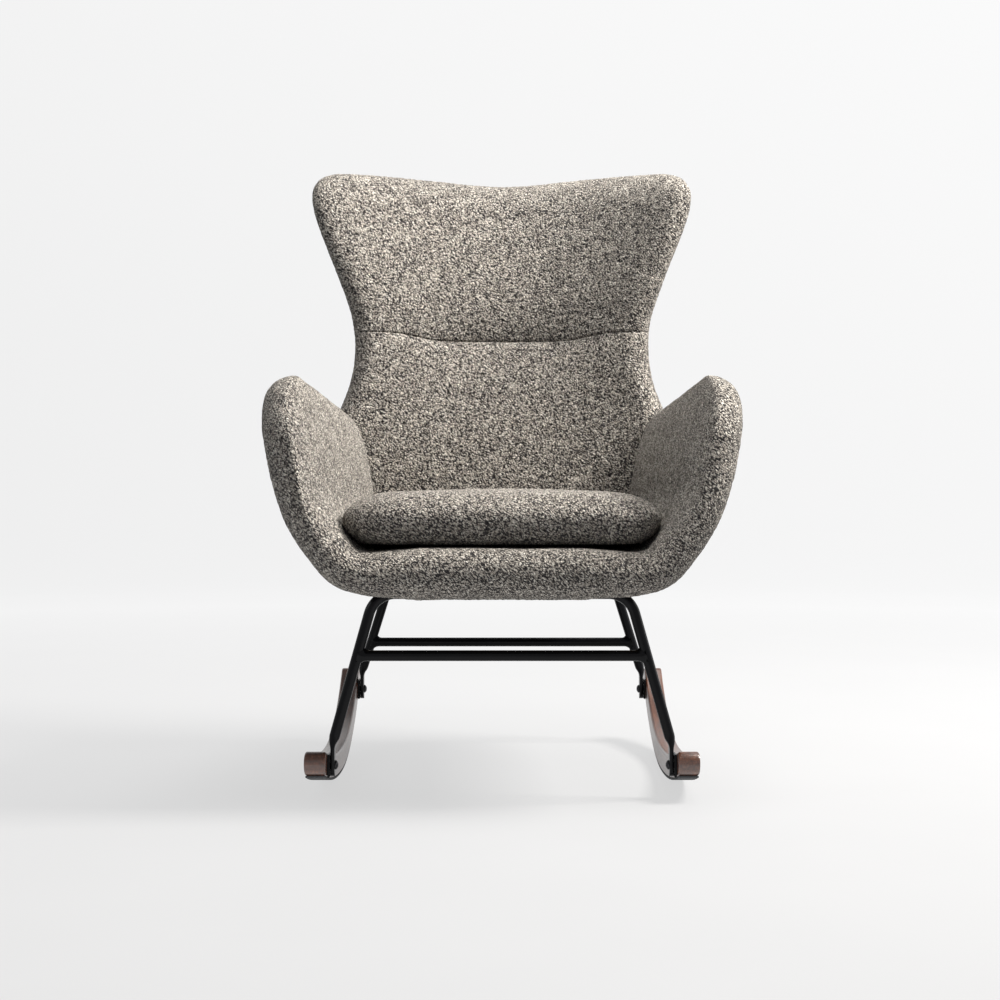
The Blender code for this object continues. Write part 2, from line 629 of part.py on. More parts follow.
def make_back():
    grid, away, p = back_grid(*BACK_GRID)
    make_back_pads(grid, away, int(np.argmin(np.abs(p - SEAM_P))))

    # The outer cover is a bowl too, and its hollow holds the board.
    full = BACK_HALF_T * round_profile(away, BACK_HALF_T)
    lip = GAP * 2
    core = shrunk(grid, COVER_T)
    hollow = np.maximum(full - COVER_T, 0)
    solid = bowl_solid(at_depth(grid, lip + full), at_depth(core, lip + hollow),
                       at_depth(grid, lip), at_depth(core, lip))
    add_object("outer_back_cover", solid, "boucle")

    board_grid, _, _ = back_grid(*BOARD_GRID, cushioned=False)
    middle = board_grid.reshape(-1, 2).mean(0)
    board_grid = middle + (board_grid - middle) * BOARD_SHRINK
    add_object("back_board", sheet_solid(
        at_depth(board_grid, BOARD_SETBACK),
        at_depth(board_grid, BOARD_SETBACK + BACK_BOARD_T)), "plywood")


# ---------------------------------------------------------------- the tub: seat base and arms
def line_length(line):
    return float(np.linalg.norm(np.diff(line, axis=0), axis=1).sum())


TUB_FRONT = spline(TUB_LINE_FRONT, LINE_POINTS)
TUB_REAR = spline(TUB_LINE_REAR, LINE_POINTS)
TUB_LENGTH = line_length(TUB_FRONT)
BACK_HALF = spline(BACK_OUTLINE, OUTLINE_POINTS)


def tub_point(w, k):
    """Point and outward normal at index k of the tub's middle line, w of the way to the back."""
    def at(index):
        return (1 - w) * interp_line(TUB_FRONT, index) + w * interp_line(TUB_REAR, index)

    ahead = at(k + 0.5) - at(k - 0.5)
    ahead /= np.linalg.norm(ahead)
    return at(k), np.array([ahead[1], -ahead[0]])


def interp_line(line, k):
    k = min(max(k, 0.0), len(line) - 1.0)
    i = min(int(k), len(line) - 2)
    return line[i] + (line[i + 1] - line[i]) * (k - i)


def rim_distance(from_tip, depth):
    """Distance from the tub's edge, which turns round a corner at the tip of an arm."""
    if from_tip < TIP_CORNER_R and depth < TIP_CORNER_R:
        return TIP_CORNER_R - math.hypot(TIP_CORNER_R - from_tip, TIP_CORNER_R - depth)
    return min(from_tip, depth)


def tub_thickness(share):
    return float(np.interp(share, [0.22, 0.38, 0.50, 0.72],
                           [TUB_T_BASE, TUB_T_CORNER, TUB_T_CORNER, TUB_T_ARM]))


def inner_lean(share, depth):
    """How much of its half thickness the inner side keeps: an arm leans in towards the back."""
    t = (share - LEAN_SHARES[0]) / (LEAN_SHARES[1] - LEAN_SHARES[0])
    t = min(max(t, 0.0), 1.0)
    kept = INNER_LEAN + (1 - INNER_LEAN) * min(depth / LEAN_DEPTH, 1.0)
    return 1 + (kept - 1) * t * t * (3 - 2 * t)


def back_face_y(x, z):
    """Front face of the back's padding at (x, z)."""
    away = float(np.linalg.norm(BACK_HALF - np.array([abs(x), z]), axis=1).min())
    side = BACK_HALF[40:200]
    edge_x = np.interp(z, side[:, 1], side[:, 0], left=0.2)
    full = 0.0
    if z > BACK_OUTLINE[0][1] and abs(x) < edge_x:
        full = BACK_HALF_T * float(round_profile(away, BACK_HALF_T))
    return float(back_mid_y(x, z)) - full


def tub_row(share, depths, thickness, sign):
    """One row of points on each face of the tub, from its front edge to the back."""
    k = abs(share) * (LINE_POINTS - 1)
    from_tip = TUB_LENGTH * (1 - abs(share))
    start = 0.0
    if from_tip < TIP_CORNER_R:
        start = TIP_CORNER_R - math.sqrt(TIP_CORNER_R ** 2 - (TIP_CORNER_R - from_tip) ** 2)
    full_half = tub_thickness(abs(share)) / 2
    end_mid, end_normal = tub_point(1.0, k)
    across = [end_mid + end_normal * full_half * way for way in np.linspace(-1, 1, 7)]
    end_y = min(back_face_y(*point) for point in across) - GAP
    rise = min(max((abs(share) - ARM_FROM) / (1 - ARM_FROM), 0), 1)
    front_y = TUB_FRONT_Y + ARM_SETBACK * rise ** 2
    faces = ([], [])
    for depth in depths:
        # A column's depth is squeezed where the rounded corner of the arm starts late.
        at = start + depth * (FRAME_PITCH - start) / FRAME_PITCH
        w = at / FRAME_PITCH
        mid, normal = tub_point(w, k)
        y = front_y + w * (end_y - front_y)
        for row, way, stretch in ((faces[0], -1, INNER_ROUND), (faces[1], 1, 1.0)):
            half = thickness / 2
            if not thickness:
                away = rim_distance(from_tip / stretch, at)
                half = full_half * float(round_profile(away, RIM_R))
                half *= inner_lean(abs(share), at) if way < 0 else 1.0
            x, z = mid + normal * way * half
            row.append((sign * x, y, z))
    return faces


def tub_faces(shares, depths, thickness=0.0, side=1.0):
    """Inner and outer grids of the tub.

    shares run along its middle line, from 0 in the middle of the seat to 1 on top of an arm;
    depths run from the front edge, and the one at FRAME_PITCH meets the back.
    """
    rows = [tub_row(share, depths, thickness, side * (-1.0 if share < 0 else 1.0))
            for share in shares]
    return np.array([row[0] for row in rows]), np.array([row[1] for row in rows])


def make_arm(side, sign, depths):
    tip = 1 - rim_steps(RIM_R)[::-1] / TUB_LENGTH
    shares = np.concatenate([np.linspace(ARM_FROM, tip[0], ARM_ROWS)[:-1], tip])
    arm = add_object(f"arm_pad_{side}", sheet_solid(*tub_faces(shares, depths, side=sign)),
                     "boucle")
    low, high = ARM_BOARD_SHARES
    board_shares = np.linspace(low, high, 8)
    board_depths = np.linspace(ARM_BOARD_FRONT, FRAME_PITCH, 9)
    add_object(f"arm_board_{side}", sheet_solid(*tub_faces(
        board_shares, board_depths, ARM_BOARD_T, sign)), "plywood")

    # The slot for the board runs out at the rear, so that it isn't a sealed hollow.
    slot_shares = np.linspace(low - 2 * GAP, high + 2 * GAP, 8)
    slot_depths = np.append(board_depths, FRAME_PITCH + 0.05)
    slot_depths[0] -= GAP
    slot = sheet_solid(*tub_faces(slot_shares, slot_depths, ARM_BOARD_T + 2 * GAP, sign))
    cut(arm, [add_object(f"cut_arm_{side}", slot, None)])


def make_tub():
    depths = np.concatenate([rim_steps(RIM_R),
                             np.linspace(RIM_R, FRAME_PITCH, DEPTH_COLUMNS)[1:]])
    for side, sign in SIDES.items():
        make_arm(side, sign, depths)
    half = np.linspace(0, ARM_FROM - ARM_JOINT, BASE_ROWS)
    shares = np.concatenate([-half[:0:-1], half])
    base = add_object("seat_base_pad", sheet_solid(*tub_faces(shares, depths)), "boucle")
    pocket = box_bmesh((-BOARD_HALF_X - GAP, BOARD_FRONT_Y - GAP, 0.20),
                       (BOARD_HALF_X + GAP, BOARD_REAR_Y + 0.05, BOARD_Z + BOARD_T + GAP))
    cut(base, [add_object("cut_seat_pocket", pocket, None)])


# ---------------------------------------------------------------- loose cushion
def make_cushion():
    """Plump seat cushion: full round edges, narrower at the back than at the front."""
    low, high = CUSHION_Z
    half_h = (high - low) / 2
    depth = CUSHION_REAR_Y - CUSHION_FRONT_Y
    middle_y = (CUSHION_REAR_Y + CUSHION_FRONT_Y) / 2
    rings = []
    for t in np.linspace(-math.pi / 2, math.pi / 2, 9)[1:-1]:
        pull = half_h * (1 - math.cos(t)) * (1.15 if t > 0 else 1.3)
        z = low + half_h + half_h * math.sin(t)
        ring = []
        for a in np.linspace(0, 2 * math.pi, 48, endpoint=False):
            c, s = math.cos(a), math.sin(a)
            y = middle_y + math.copysign(abs(s) ** CORNER_POWER, s) * (depth / 2 - pull)
            width = CUSHION_HALF_X - CUSHION_TAPER * (y - CUSHION_FRONT_Y) / depth
            ring.append((math.copysign(abs(c) ** CORNER_POWER, c) * (width - pull), y, z))
        rings.append(ring)
    add_object("seat_cushion", loft(rings), "boucle")


def build():
    clear_scene()
    for side, sign in SIDES.items():
        make_rocker(side, sign)
        make_strip(side, sign)
    board_holes = []
    for end, y in ENDS.items():
        make_leg_frame(end, y)
        make_crossbar(end, y)
        for side, sign in SIDES.items():
            make_rocker_joint(end, y, side, sign)
            board_holes.append(make_seat_fixing(end, y, side, sign))
    make_seat_board(board_holes)
    make_dust_cover()
    make_back()
    make_tub()
    make_cushion()


build()
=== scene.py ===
"""Looks of the wing-back rocking chair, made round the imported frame.

Units are metres, +Z is up, the sitter faces -Y and "left" is the sitter's left (+X).
"""

import json
import math

import bmesh
import bpy
import numpy as np
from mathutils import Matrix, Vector, kdtree


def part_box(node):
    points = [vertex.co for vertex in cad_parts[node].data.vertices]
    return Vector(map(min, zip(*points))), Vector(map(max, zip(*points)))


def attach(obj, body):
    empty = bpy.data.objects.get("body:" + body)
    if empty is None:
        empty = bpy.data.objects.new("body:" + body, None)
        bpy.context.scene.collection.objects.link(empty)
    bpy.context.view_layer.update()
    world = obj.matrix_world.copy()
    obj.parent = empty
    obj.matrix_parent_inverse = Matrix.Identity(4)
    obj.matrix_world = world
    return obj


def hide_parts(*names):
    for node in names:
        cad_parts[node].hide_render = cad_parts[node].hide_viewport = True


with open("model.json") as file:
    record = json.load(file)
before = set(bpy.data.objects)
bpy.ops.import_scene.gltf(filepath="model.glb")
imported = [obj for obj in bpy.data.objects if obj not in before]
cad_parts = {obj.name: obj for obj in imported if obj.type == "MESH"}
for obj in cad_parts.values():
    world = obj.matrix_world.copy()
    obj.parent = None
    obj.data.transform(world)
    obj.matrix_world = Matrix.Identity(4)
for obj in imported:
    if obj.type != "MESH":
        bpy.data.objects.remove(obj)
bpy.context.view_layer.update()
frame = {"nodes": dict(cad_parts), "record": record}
scene = bpy.context.scene
BODY, LOOSE_BODY = "chair", "cushion"
SIDES = {"left": 1.0, "right": -1.0}
ENDS = ("front", "rear")


def middle(node):
    low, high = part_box(node)
    return (low + high) / 2


# ---------------------------------------------------------------- places read from the frame
END_Y = {end: middle(f"{end}_leg_frame").y for end in ENDS}
FRONT_Y, REAR_Y = END_Y["front"], END_Y["rear"]
PITCH = REAR_Y - FRONT_Y
CONTACT_Y = frame["record"]["mounts"][0]["pos_m"][1]
BAR_Z = {end: middle(f"{end}_crossbar").z for end in ENDS}
TUBE_R = (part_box("front_crossbar")[1].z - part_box("front_crossbar")[0].z) / 2
TOP_RUN_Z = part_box("front_leg_frame")[1].z - TUBE_R
TAB_HALF_T, TAB_HALF_W = 0.0033, 0.0115
TAB_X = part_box("front_leg_frame")[1].x - TAB_HALF_T
TAB_END = {end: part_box(f"{end}_leg_frame")[0].z for end in ENDS}
ROCKER_LOW, ROCKER_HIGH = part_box("rocker_left")
BOARD_LOW, BOARD_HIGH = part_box("seat_board")
CUSHION_LOW, CUSHION_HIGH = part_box("seat_cushion")
TUB_FRONT_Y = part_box("seat_base_pad")[0].y

# ---------------------------------------------------------------- shapes that follow the CAD
LEG_SLOPE = {"front": 0.281, "rear": 0.31}
LEG_TOP_X = {"front": 0.1885, "rear": 0.196}
TUBE_BEND_R, KNEE_R = 0.040, 0.022

# Arcs of the rocker's centreline, ahead of the floor contact and behind it.
FRONT_R, BACK_R = 1.25, 0.58
ROCKER_H, STRIP_T = 0.035, 0.003
NOSE_REACH, TAIL_REACH = 0.312, 0.330

TUB_T_BASE, TUB_T_CORNER, TUB_T_ARM = 0.074, 0.061, 0.086
RIM_R, TIP_CORNER_R = 0.042, 0.115
# Shares of the way from the middle of the seat to the tip of an arm.
TUB_T_SHARES, LEAN_SHARES, BASE_SHARES = (0.22, 0.38, 0.50, 0.72), (0.46, 0.68), (0.2, 0.5)
ARM_FROM, ARM_SETBACK = 0.46, 0.028
# How much wider the inner edges turn, and how much of an arm's inner half is kept at its front
# and from LEAN_DEPTH on.
INNER_ROUND, BASE_TIGHTENING = 2.5, 0.35
INNER_LEAN, REAR_LEAN, LEAN_DEPTH = 0.46, 0.86, 0.45
TOP_EDGE = (0.40, 0.75)
REAR_NARROWING, REAR_ROUND_R = 0.30, 0.022
PIPING_AT, PIPING_DEPTH, PIPING_WIDTH = 0.034, 0.0022, 0.0011
BACK_HALF_T = 0.042
EDGE_ROUND_Z, EDGE_ROUND_R = (0.45, 0.72, 0.90), (0.042, 0.048, 0.058)
REAR_EDGE_R, REAR_BULGE, COVER_GAP = 0.046, 0.004, 0.0008

TUB_LINE_FRONT = [
    (0.0, 0.3365), (0.09, 0.3365), (0.155, 0.3362), (0.197, 0.3368), (0.2290, 0.3458),
    (0.2555, 0.3755), (0.2800, 0.4230), (0.2890, 0.4540), (0.2955, 0.4872), (0.3020, 0.521),
    (0.3095, 0.5600), (0.3150, 0.600), (0.3160, 0.638),
]
TUB_LINE_REAR = [
    (0.0, 0.3365), (0.08, 0.3365), (0.135, 0.3365), (0.175, 0.3395), (0.204, 0.3525),
    (0.229, 0.3800), (0.248, 0.4200), (0.258, 0.4550), (0.2645, 0.4900), (0.269, 0.5180),
    (0.272, 0.5420), (0.273, 0.5650), (0.272, 0.584),
]
BACK_OUTLINE = [
    (0.0, 0.3335), (0.12, 0.3335), (0.195, 0.3400), (0.243, 0.364), (0.277, 0.402),
    (0.297, 0.450), (0.305, 0.500), (0.300, 0.548), (0.285, 0.592), (0.270, 0.632),
    (0.261, 0.672), (0.2585, 0.712), (0.2625, 0.752), (0.2725, 0.787), (0.286, 0.825),
    (0.303, 0.868), (0.320, 0.912), (0.3315, 0.950), (0.3335, 0.980), (0.322, 1.004),
    (0.299, 1.0165), (0.250, 1.0205), (0.190, 1.0200), (0.120, 1.0165), (0.055, 1.0110),
    (0.0, 1.0085),
]
BACK_CORNERS = (4, 19)
BACK_DEPTH = [(0.31, 0.500), (0.50, 0.517), (0.60, 0.532), (0.80, 0.571), (1.02, 0.630)]
BACK_WRAP = [(0.31, 0.0), (0.45, 0.022), (0.60, 0.045), (0.72, 0.068), (0.85, 0.090),
             (1.02, 0.090)]

# ---------------------------------------------------------------- looks
FINE = 0.0020  # mesh spacing of the upholstery
LINE_POINTS, OUTLINE_POINTS = 400, 3000

# The seam across the back, and how far it climbs at the sides.
SEAM_Z, SEAM_RISE, SEAM_RISE_X = 0.718, 0.0135, (0.100, 0.200)
STITCH_DEPTH, STITCH_WIDTH = 0.0019, 0.0018
TUCK_DEPTH, TUCK_SIDE_DEPTH, TUCK_SIDE_X = 0.019, 0.004, (0.05, 0.22)
TUCK_REACH, TUCK_REACH_ABOVE, TUCK_AT_RIM = 0.040, 0.050, 0.3

WAVE_SIZE, NUB_SIZE, NUB_SLANT = 0.075, 0.0048, math.radians(40)
YARN_STRETCH, LOOPS_PER_METRE, CURLS_PER_METRE = 2.2, 590.0, 880.0

CUSHION_OUT, CUSHION_AHEAD, CUSHION_DOWN = 0.017, 0.010, 0.0015  # past the CAD cushion
CUSHION_TAPER, CUSHION_CORNER_POWER, CUSHION_SEAM_SHARE = 0.050, 0.30, 0.44
CUSHION_CROWN, CUSHION_SWELL_ROOM = 0.004, 0.010
# How far the cushion's sides pull in (x, y) below its seam and above it.
PULL_BELOW, PULL_ABOVE = (0.040, 0.020), (0.095, 0.055)
CUSHION_AROUND, VOXEL = 240, 0.0045
PRESSURE, CLOTH_FRAMES, SWELL_CAP = 4.0, 20, 0.006

TUBE_AROUND, TUBE_STEP, BAR_AROUND = 32, 0.003, 40
FLATTEN_ABOVE, FLATTEN_OVER, TAB_POWER, TAB_LEAST = 0.010, 0.020, 0.55, 0.12
WELD_SWELL, WELD_REACH, WELD_RIPPLE, WELD_RIPPLES = 0.0038, 0.0075, 0.06, 9
RAIL_POINTS, RAIL_AROUND = 260, 28


# ---------------------------------------------------------------- helpers
def smoothstep(low, high, value):
    t = np.clip((value - low) / (high - low), 0, 1)
    return t * t * (3 - 2 * t)


def resample(line, count):
    """The line again, as evenly spaced points."""
    run = np.concatenate([[0], np.cumsum(np.linalg.norm(np.diff(line, axis=0), axis=1))])
    at = np.linspace(0, run[-1], count)
    return np.stack([np.interp(at, run, line[:, k]) for k in range(line.shape[1])], 1)


def spline(points, count):
    """Points along a smooth curve through the given ones (centripetal Catmull-Rom)."""
    pts = np.array(points, float)
    pts = np.vstack([2 * pts[0] - pts[1], pts, 2 * pts[-1] - pts[-2]])
    knots = np.concatenate([[0], np.cumsum(np.linalg.norm(np.diff(pts, axis=0), axis=1) ** 0.5)])
    out = []
    for t in np.linspace(knots[1], knots[-2], 60 * len(points)):
        i = min(max(np.searchsorted(knots, t, "right") - 1, 1), len(pts) - 3)
        t0, t1, t2, t3 = knots[i - 1:i + 3]
        p0, p1, p2, p3 = pts[i - 1:i + 3]
        a1 = (t1 - t) / (t1 - t0) * p0 + (t - t0) / (t1 - t0) * p1
        a2 = (t2 - t) / (t2 - t1) * p1 + (t - t1) / (t2 - t1) * p2
        a3 = (t3 - t) / (t3 - t2) * p2 + (t - t2) / (t3 - t2) * p3
        b1 = (t2 - t) / (t2 - t0) * a1 + (t - t0) / (t2 - t0) * a2
        b2 = (t3 - t) / (t3 - t1) * a2 + (t - t1) / (t3 - t1) * a3
        out.append((t2 - t) / (t2 - t1) * b1 + (t - t1) / (t2 - t1) * b2)
    return resample(np.array(out), count)


def round_profile(distance, radius):
    """How full a cushioned edge of this radius is, from 0 on its rim to 1 inside."""
    inside = np.clip(distance / radius, 0, 1)
    return np.sqrt(np.clip(1 - (1 - inside) ** 2, 0, 1))


def grid_faces(rows, columns, start=0, flip=False, closed=False):
    """Quads of a grid of points; a closed one also joins its last column to its first."""
    across = columns if closed else columns - 1
    i, j = np.meshgrid(np.arange(rows - 1), np.arange(across), indexing="ij")
    k = (j + 1) % columns
    quads = np.stack([i * columns + j, (i + 1) * columns + j,
                      (i + 1) * columns + k, i * columns + k], -1).reshape(-1, 4) + start
    return quads[:, ::-1] if flip else quads


def closed_tube(rings, around):
    """Faces of a row of equal rings, with a cap on each end."""
    faces = [list(face) for face in grid_faces(rings, around, closed=True)]
    last = (rings - 1) * around
    return faces + [list(range(around - 1, -1, -1)), list(range(last, last + around))]


def mesh_object(name, points, faces, merge=0.0, smooth_deg=None):
    """A smooth-shaded object, its faces turned outwards."""
    mesh = bpy.data.meshes.new(name)
    mesh.from_pydata(np.asarray(points).reshape(-1, 3).tolist(), [],
                     [list(face) for face in faces])
    bm = bmesh.new()
    bm.from_mesh(mesh)
    if merge:
        bmesh.ops.remove_doubles(bm, verts=bm.verts, dist=merge)
        bmesh.ops.dissolve_degenerate(bm, edges=bm.edges, dist=merge)
    bmesh.ops.recalc_face_normals(bm, faces=bm.faces)
    bm.to_mesh(mesh)
    bm.free()
    mesh.shade_smooth()
    if smooth_deg:
        mesh.set_sharp_from_angle(angle=math.radians(smooth_deg))
    obj = bpy.data.objects.new(name, mesh)
    scene.collection.objects.link(obj)
    return obj


def apply_modifiers(obj):
    """Gives an object the mesh that its modifiers make of it."""
    graph = bpy.context.evaluated_depsgraph_get()
    mesh = bpy.data.meshes.new_from_object(obj.evaluated_get(graph))
    obj.modifiers.clear()
    old, obj.data = obj.data, mesh
    bpy.data.meshes.remove(old)
    mesh.shade_smooth()


def rim_steps(radius, count):
    """Distances from a rounded rim, close together where its surface turns."""
    return radius * (1 - np.cos(np.linspace(0, math.pi / 2, count)))


# ---------------------------------------------------------------- material nodes
def new_material(name):
    material = bpy.data.materials.new(name)
    material.use_nodes = True
    return material, material.node_tree, material.node_tree.nodes["Principled BSDF"]


def add(tree, kind, values=(), **settings):
    """A node with its settings, its inputs given as {name: number or (node, output)}."""
    node = tree.nodes.new("ShaderNode" + kind)
    for key, value in settings.items():
        setattr(node, key, value)
    for key, value in dict(values).items():
        if isinstance(value, tuple) and isinstance(value[0], bpy.types.Node):
            tree.links.new(value[0].outputs[value[1]], node.inputs[key])
        else:
            node.inputs[key].default_value = value
    return node


def ramp(tree, source, stops):
    node = add(tree, "ValToRGB", {"Fac": source})
    elements = node.color_ramp.elements
    while len(elements) < len(stops):
        elements.new(0.5)
    for element, (place, colour) in zip(elements, stops):
        element.position = place
        element.color = (*colour, 1.0)
    return node


def maths(tree, operation, a, b, clamp=False):
    return add(tree, "Math", {0: a, 1: b}, operation=operation, use_clamp=clamp)


def boucle_material(name):
    """Looped melange yarn: small slanted nubs of greige and cream, with shade painted dark into the
    hollows between them.
    """
    material, tree, shader = new_material(name)
    place = add(tree, "TexCoord")
    slanted = add(tree, "Mapping", {"Vector": (place, "Object"), "Rotation": (0.0, NUB_SLANT, 0.0),
                                    "Scale": (YARN_STRETCH, 1.0, 1.0)}, vector_type="TEXTURE")
    wander = add(tree, "TexNoise", {"Vector": (slanted, 0), "Scale": 260.0, "Detail": 2.0})
    shift = add(tree, "VectorMath", {0: (wander, "Color"), 1: (0.5, 0.5, 0.5)},
                operation="SUBTRACT")
    small = add(tree, "VectorMath", {0: (shift, 0), "Scale": 0.004}, operation="SCALE")
    bent = add(tree, "VectorMath", {0: (slanted, 0), 1: (small, 0)}, operation="ADD")
    loops = add(tree, "TexVoronoi", {"Vector": (bent, 0), "Scale": LOOPS_PER_METRE}, feature="F1")
    curls = add(tree, "TexVoronoi", {"Vector": (bent, 0), "Scale": CURLS_PER_METRE}, feature="F1")
    fuzz = add(tree, "TexNoise", {"Vector": (bent, 0), "Scale": 1500.0, "Detail": 3.0})
    # Broad patches where the painted shade in the hollows is deeper or lighter.
    pit_shade_patch = add(tree, "TexNoise", {"Vector": (place, "Object"), "Scale": 55.0, "Detail": 2.0})
    tone = add(tree, "SeparateColor", {"Color": (loops, "Color")})
    curl_tone = add(tree, "SeparateColor", {"Color": (curls, "Color")})
    mixed = maths(tree, "MULTIPLY_ADD", (curl_tone, "Red"), 0.34)
    tree.links.new(maths(tree, "MULTIPLY", (tone, "Green"), 0.66).outputs[0], mixed.inputs[2])
    yarn = ramp(tree, (mixed, 0), [
        (0.0, (0.020, 0.020, 0.025)), (0.18, (0.062, 0.057, 0.058)), (0.28, (0.36, 0.32, 0.278)),
        (0.58, (0.55, 0.50, 0.435)), (0.84, (0.90, 0.85, 0.765))])
    # Painted shade: the colour darkens towards the edge of each yarn loop, where the hollows between
    # the nubs fall into shade.
    pit_shade_mask = maths(tree, "MULTIPLY_ADD", (pit_shade_patch, "Fac"), 0.30)
    tree.links.new(loops.outputs["Distance"], pit_shade_mask.inputs[2])
    painted_pit_shade = ramp(tree, (pit_shade_mask, 0), [(0.54, (1, 1, 1)), (0.76, (0.055, 0.054, 0.064))])
    shaded = add(tree, "Mix", {"Factor": 1.0, 6: (yarn, "Color"), 7: (painted_pit_shade, "Color")},
                 data_type="RGBA", blend_type="MULTIPLY")
    tree.links.new(shaded.outputs[2], shader.inputs["Base Color"])
    height = maths(tree, "SUBTRACT", 1.0, (loops, "Distance"), clamp=True)
    curl_height = maths(tree, "SUBTRACT", 0.8, (curls, "Distance"), clamp=True)
    relief = maths(tree, "MULTIPLY_ADD", (curl_height, 0), 0.5)
    tree.links.new(height.outputs[0], relief.inputs[2])
    fluffy = maths(tree, "MULTIPLY_ADD", (fuzz, "Fac"), 0.35)
    tree.links.new(relief.outputs[0], fluffy.inputs[2])
    bump = add(tree, "Bump", {"Height": (fluffy, 0), "Strength": 1.0, "Distance": 0.0026})
    tree.links.new(bump.outputs["Normal"], shader.inputs["Normal"])
    rough = maths(tree, "MULTIPLY_ADD", (fuzz, "Fac"), 0.12)
    rough.inputs[2].default_value = 0.84
    tree.links.new(rough.outputs[0], shader.inputs["Roughness"])
    shader.inputs["Specular IOR Level"].default_value = 0.15
    shader.inputs["Sheen Weight"].default_value = 0.15
    shader.inputs["Sheen Roughness"].default_value = 0.45
    shader.inputs["Sheen Tint"].default_value = (0.95, 0.90, 0.82, 1.0)
    return material


def steel_material():
    """Black powder coat, with the faint orange peel that it dries to."""
    material, tree, shader = new_material("black_powder_coat")
    place = add(tree, "TexCoord")
    peel = add(tree, "TexNoise", {"Vector": (place, "Object"), "Scale": 900.0, "Detail": 2.0})
    drift = add(tree, "TexNoise", {"Vector": (place, "Object"), "Scale": 25.0, "Detail": 3.0})
    tone = ramp(tree, (drift, "Fac"), [(0.3, (0.0022, 0.0022, 0.003)), (0.7, (0.004, 0.004, 0.005))])
    tree.links.new(tone.outputs["Color"], shader.inputs["Base Color"])
    rough = maths(tree, "MULTIPLY_ADD", (drift, "Fac"), 0.12)
    rough.inputs[2].default_value = 0.17
    tree.links.new(rough.outputs[0], shader.inputs["Roughness"])
    bump = add(tree, "Bump", {"Height": (peel, "Fac"), "Strength": 0.10, "Distance": 0.0004})
    tree.links.new(bump.outputs["Normal"], shader.inputs["Normal"])
    shader.inputs["Specular IOR Level"].default_value = 0.085
    return material


def wood_material():
    """Walnut-stained laminated wood under a clear lacquer, its grain running along the arc."""
    material, tree, shader = new_material("walnut_lacquer")
    along = add(tree, "Attribute", attribute_name="grain")
    stretched = add(tree, "Mapping", {"Vector": (along, "Vector"), "Scale": (2.2, 60.0, 60.0)})
    grain = add(tree, "TexNoise", {"Vector": (stretched, 0), "Scale": 2.6, "Detail": 8.0,
                                   "Roughness": 0.62, "Distortion": 0.5})
    pores = add(tree, "Mapping", {"Vector": (along, "Vector"), "Scale": (14.0, 420.0, 420.0)})
    pore = add(tree, "TexNoise", {"Vector": (pores, 0), "Scale": 2.0, "Detail": 3.0})
    axes = add(tree, "SeparateXYZ", {"Vector": (along, "Vector")})
    layers = maths(tree, "MULTIPLY", (axes, "Z"), 1 / 0.0058)
    share = maths(tree, "FRACT", (layers, 0), 0.0)
    line = ramp(tree, (share, 0), [(0.0, (0.45, 0.45, 0.45)), (0.07, (1, 1, 1)),
                                   (0.93, (1, 1, 1)), (1.0, (0.45, 0.45, 0.45))])
    floor = maths(tree, "FLOOR", (layers, 0), 0.0)
    ply = add(tree, "TexWhiteNoise", {"W": (floor, 0)}, noise_dimensions="1D")
    tone = ramp(tree, (grain, "Fac"), [
        (0.28, (0.034, 0.013, 0.008)), (0.46, (0.074, 0.027, 0.015)),
        (0.60, (0.122, 0.047, 0.026)), (0.76, (0.195, 0.086, 0.048))])
    veneer = ramp(tree, (ply, "Value"), [(0.0, (0.80, 0.78, 0.76)), (1.0, (1.0, 1.0, 1.0))])
    pored = ramp(tree, (pore, "Fac"), [(0.36, (0.55, 0.5, 0.48)), (0.47, (1, 1, 1))])
    colour = tone
    socket = "Color"
    for shade in (veneer, line, pored):
        mixed = add(tree, "Mix", {"Factor": 1.0, 6: (colour, socket), 7: (shade, "Color")},
                    data_type="RGBA", blend_type="MULTIPLY")
        colour, socket = mixed, 2
    tree.links.new(colour.outputs[socket], shader.inputs["Base Color"])
    rough = maths(tree, "MULTIPLY_ADD", (pore, "Fac"), 0.25)
    rough.inputs[2].default_value = 0.22
    tree.links.new(rough.outputs[0], shader.inputs["Roughness"])
    bump = add(tree, "Bump", {"Height": (pore, "Fac"), "Strength": 0.15, "Distance": 0.0003})
    tree.links.new(bump.outputs["Normal"], shader.inputs["Normal"])
    shader.inputs["Coat Weight"].default_value = 0.35
    shader.inputs["Coat Roughness"].default_value = 0.18
    return material


def simple_material(name, dark, light, scale, rough, metallic=0.0, bump=0.2, depth=0.0005,
                    stretch=(1.0, 1.0, 1.0)):
    """Two tones mixed by noise at a scale, with roughness variation and relief."""
    material, tree, shader = new_material(name)
    place = add(tree, "TexCoord")
    moved = add(tree, "Mapping", {"Vector": (place, "Object"), "Scale": stretch})
    noise = add(tree, "TexNoise", {"Vector": (moved, 0), "Scale": scale, "Detail": 5.0})
    tone = ramp(tree, (noise, "Fac"), [(0.3, dark), (0.7, light)])
    tree.links.new(tone.outputs["Color"], shader.inputs["Base Color"])
    spread = maths(tree, "MULTIPLY_ADD", (noise, "Fac"), 0.2)
    spread.inputs[2].default_value = rough - 0.1
    tree.links.new(spread.outputs[0], shader.inputs["Roughness"])
    relief = add(tree, "Bump", {"Height": (noise, "Fac"), "Strength": bump, "Distance": depth})
    tree.links.new(relief.outputs["Normal"], shader.inputs["Normal"])
    shader.inputs["Metallic"].default_value = metallic
    return material


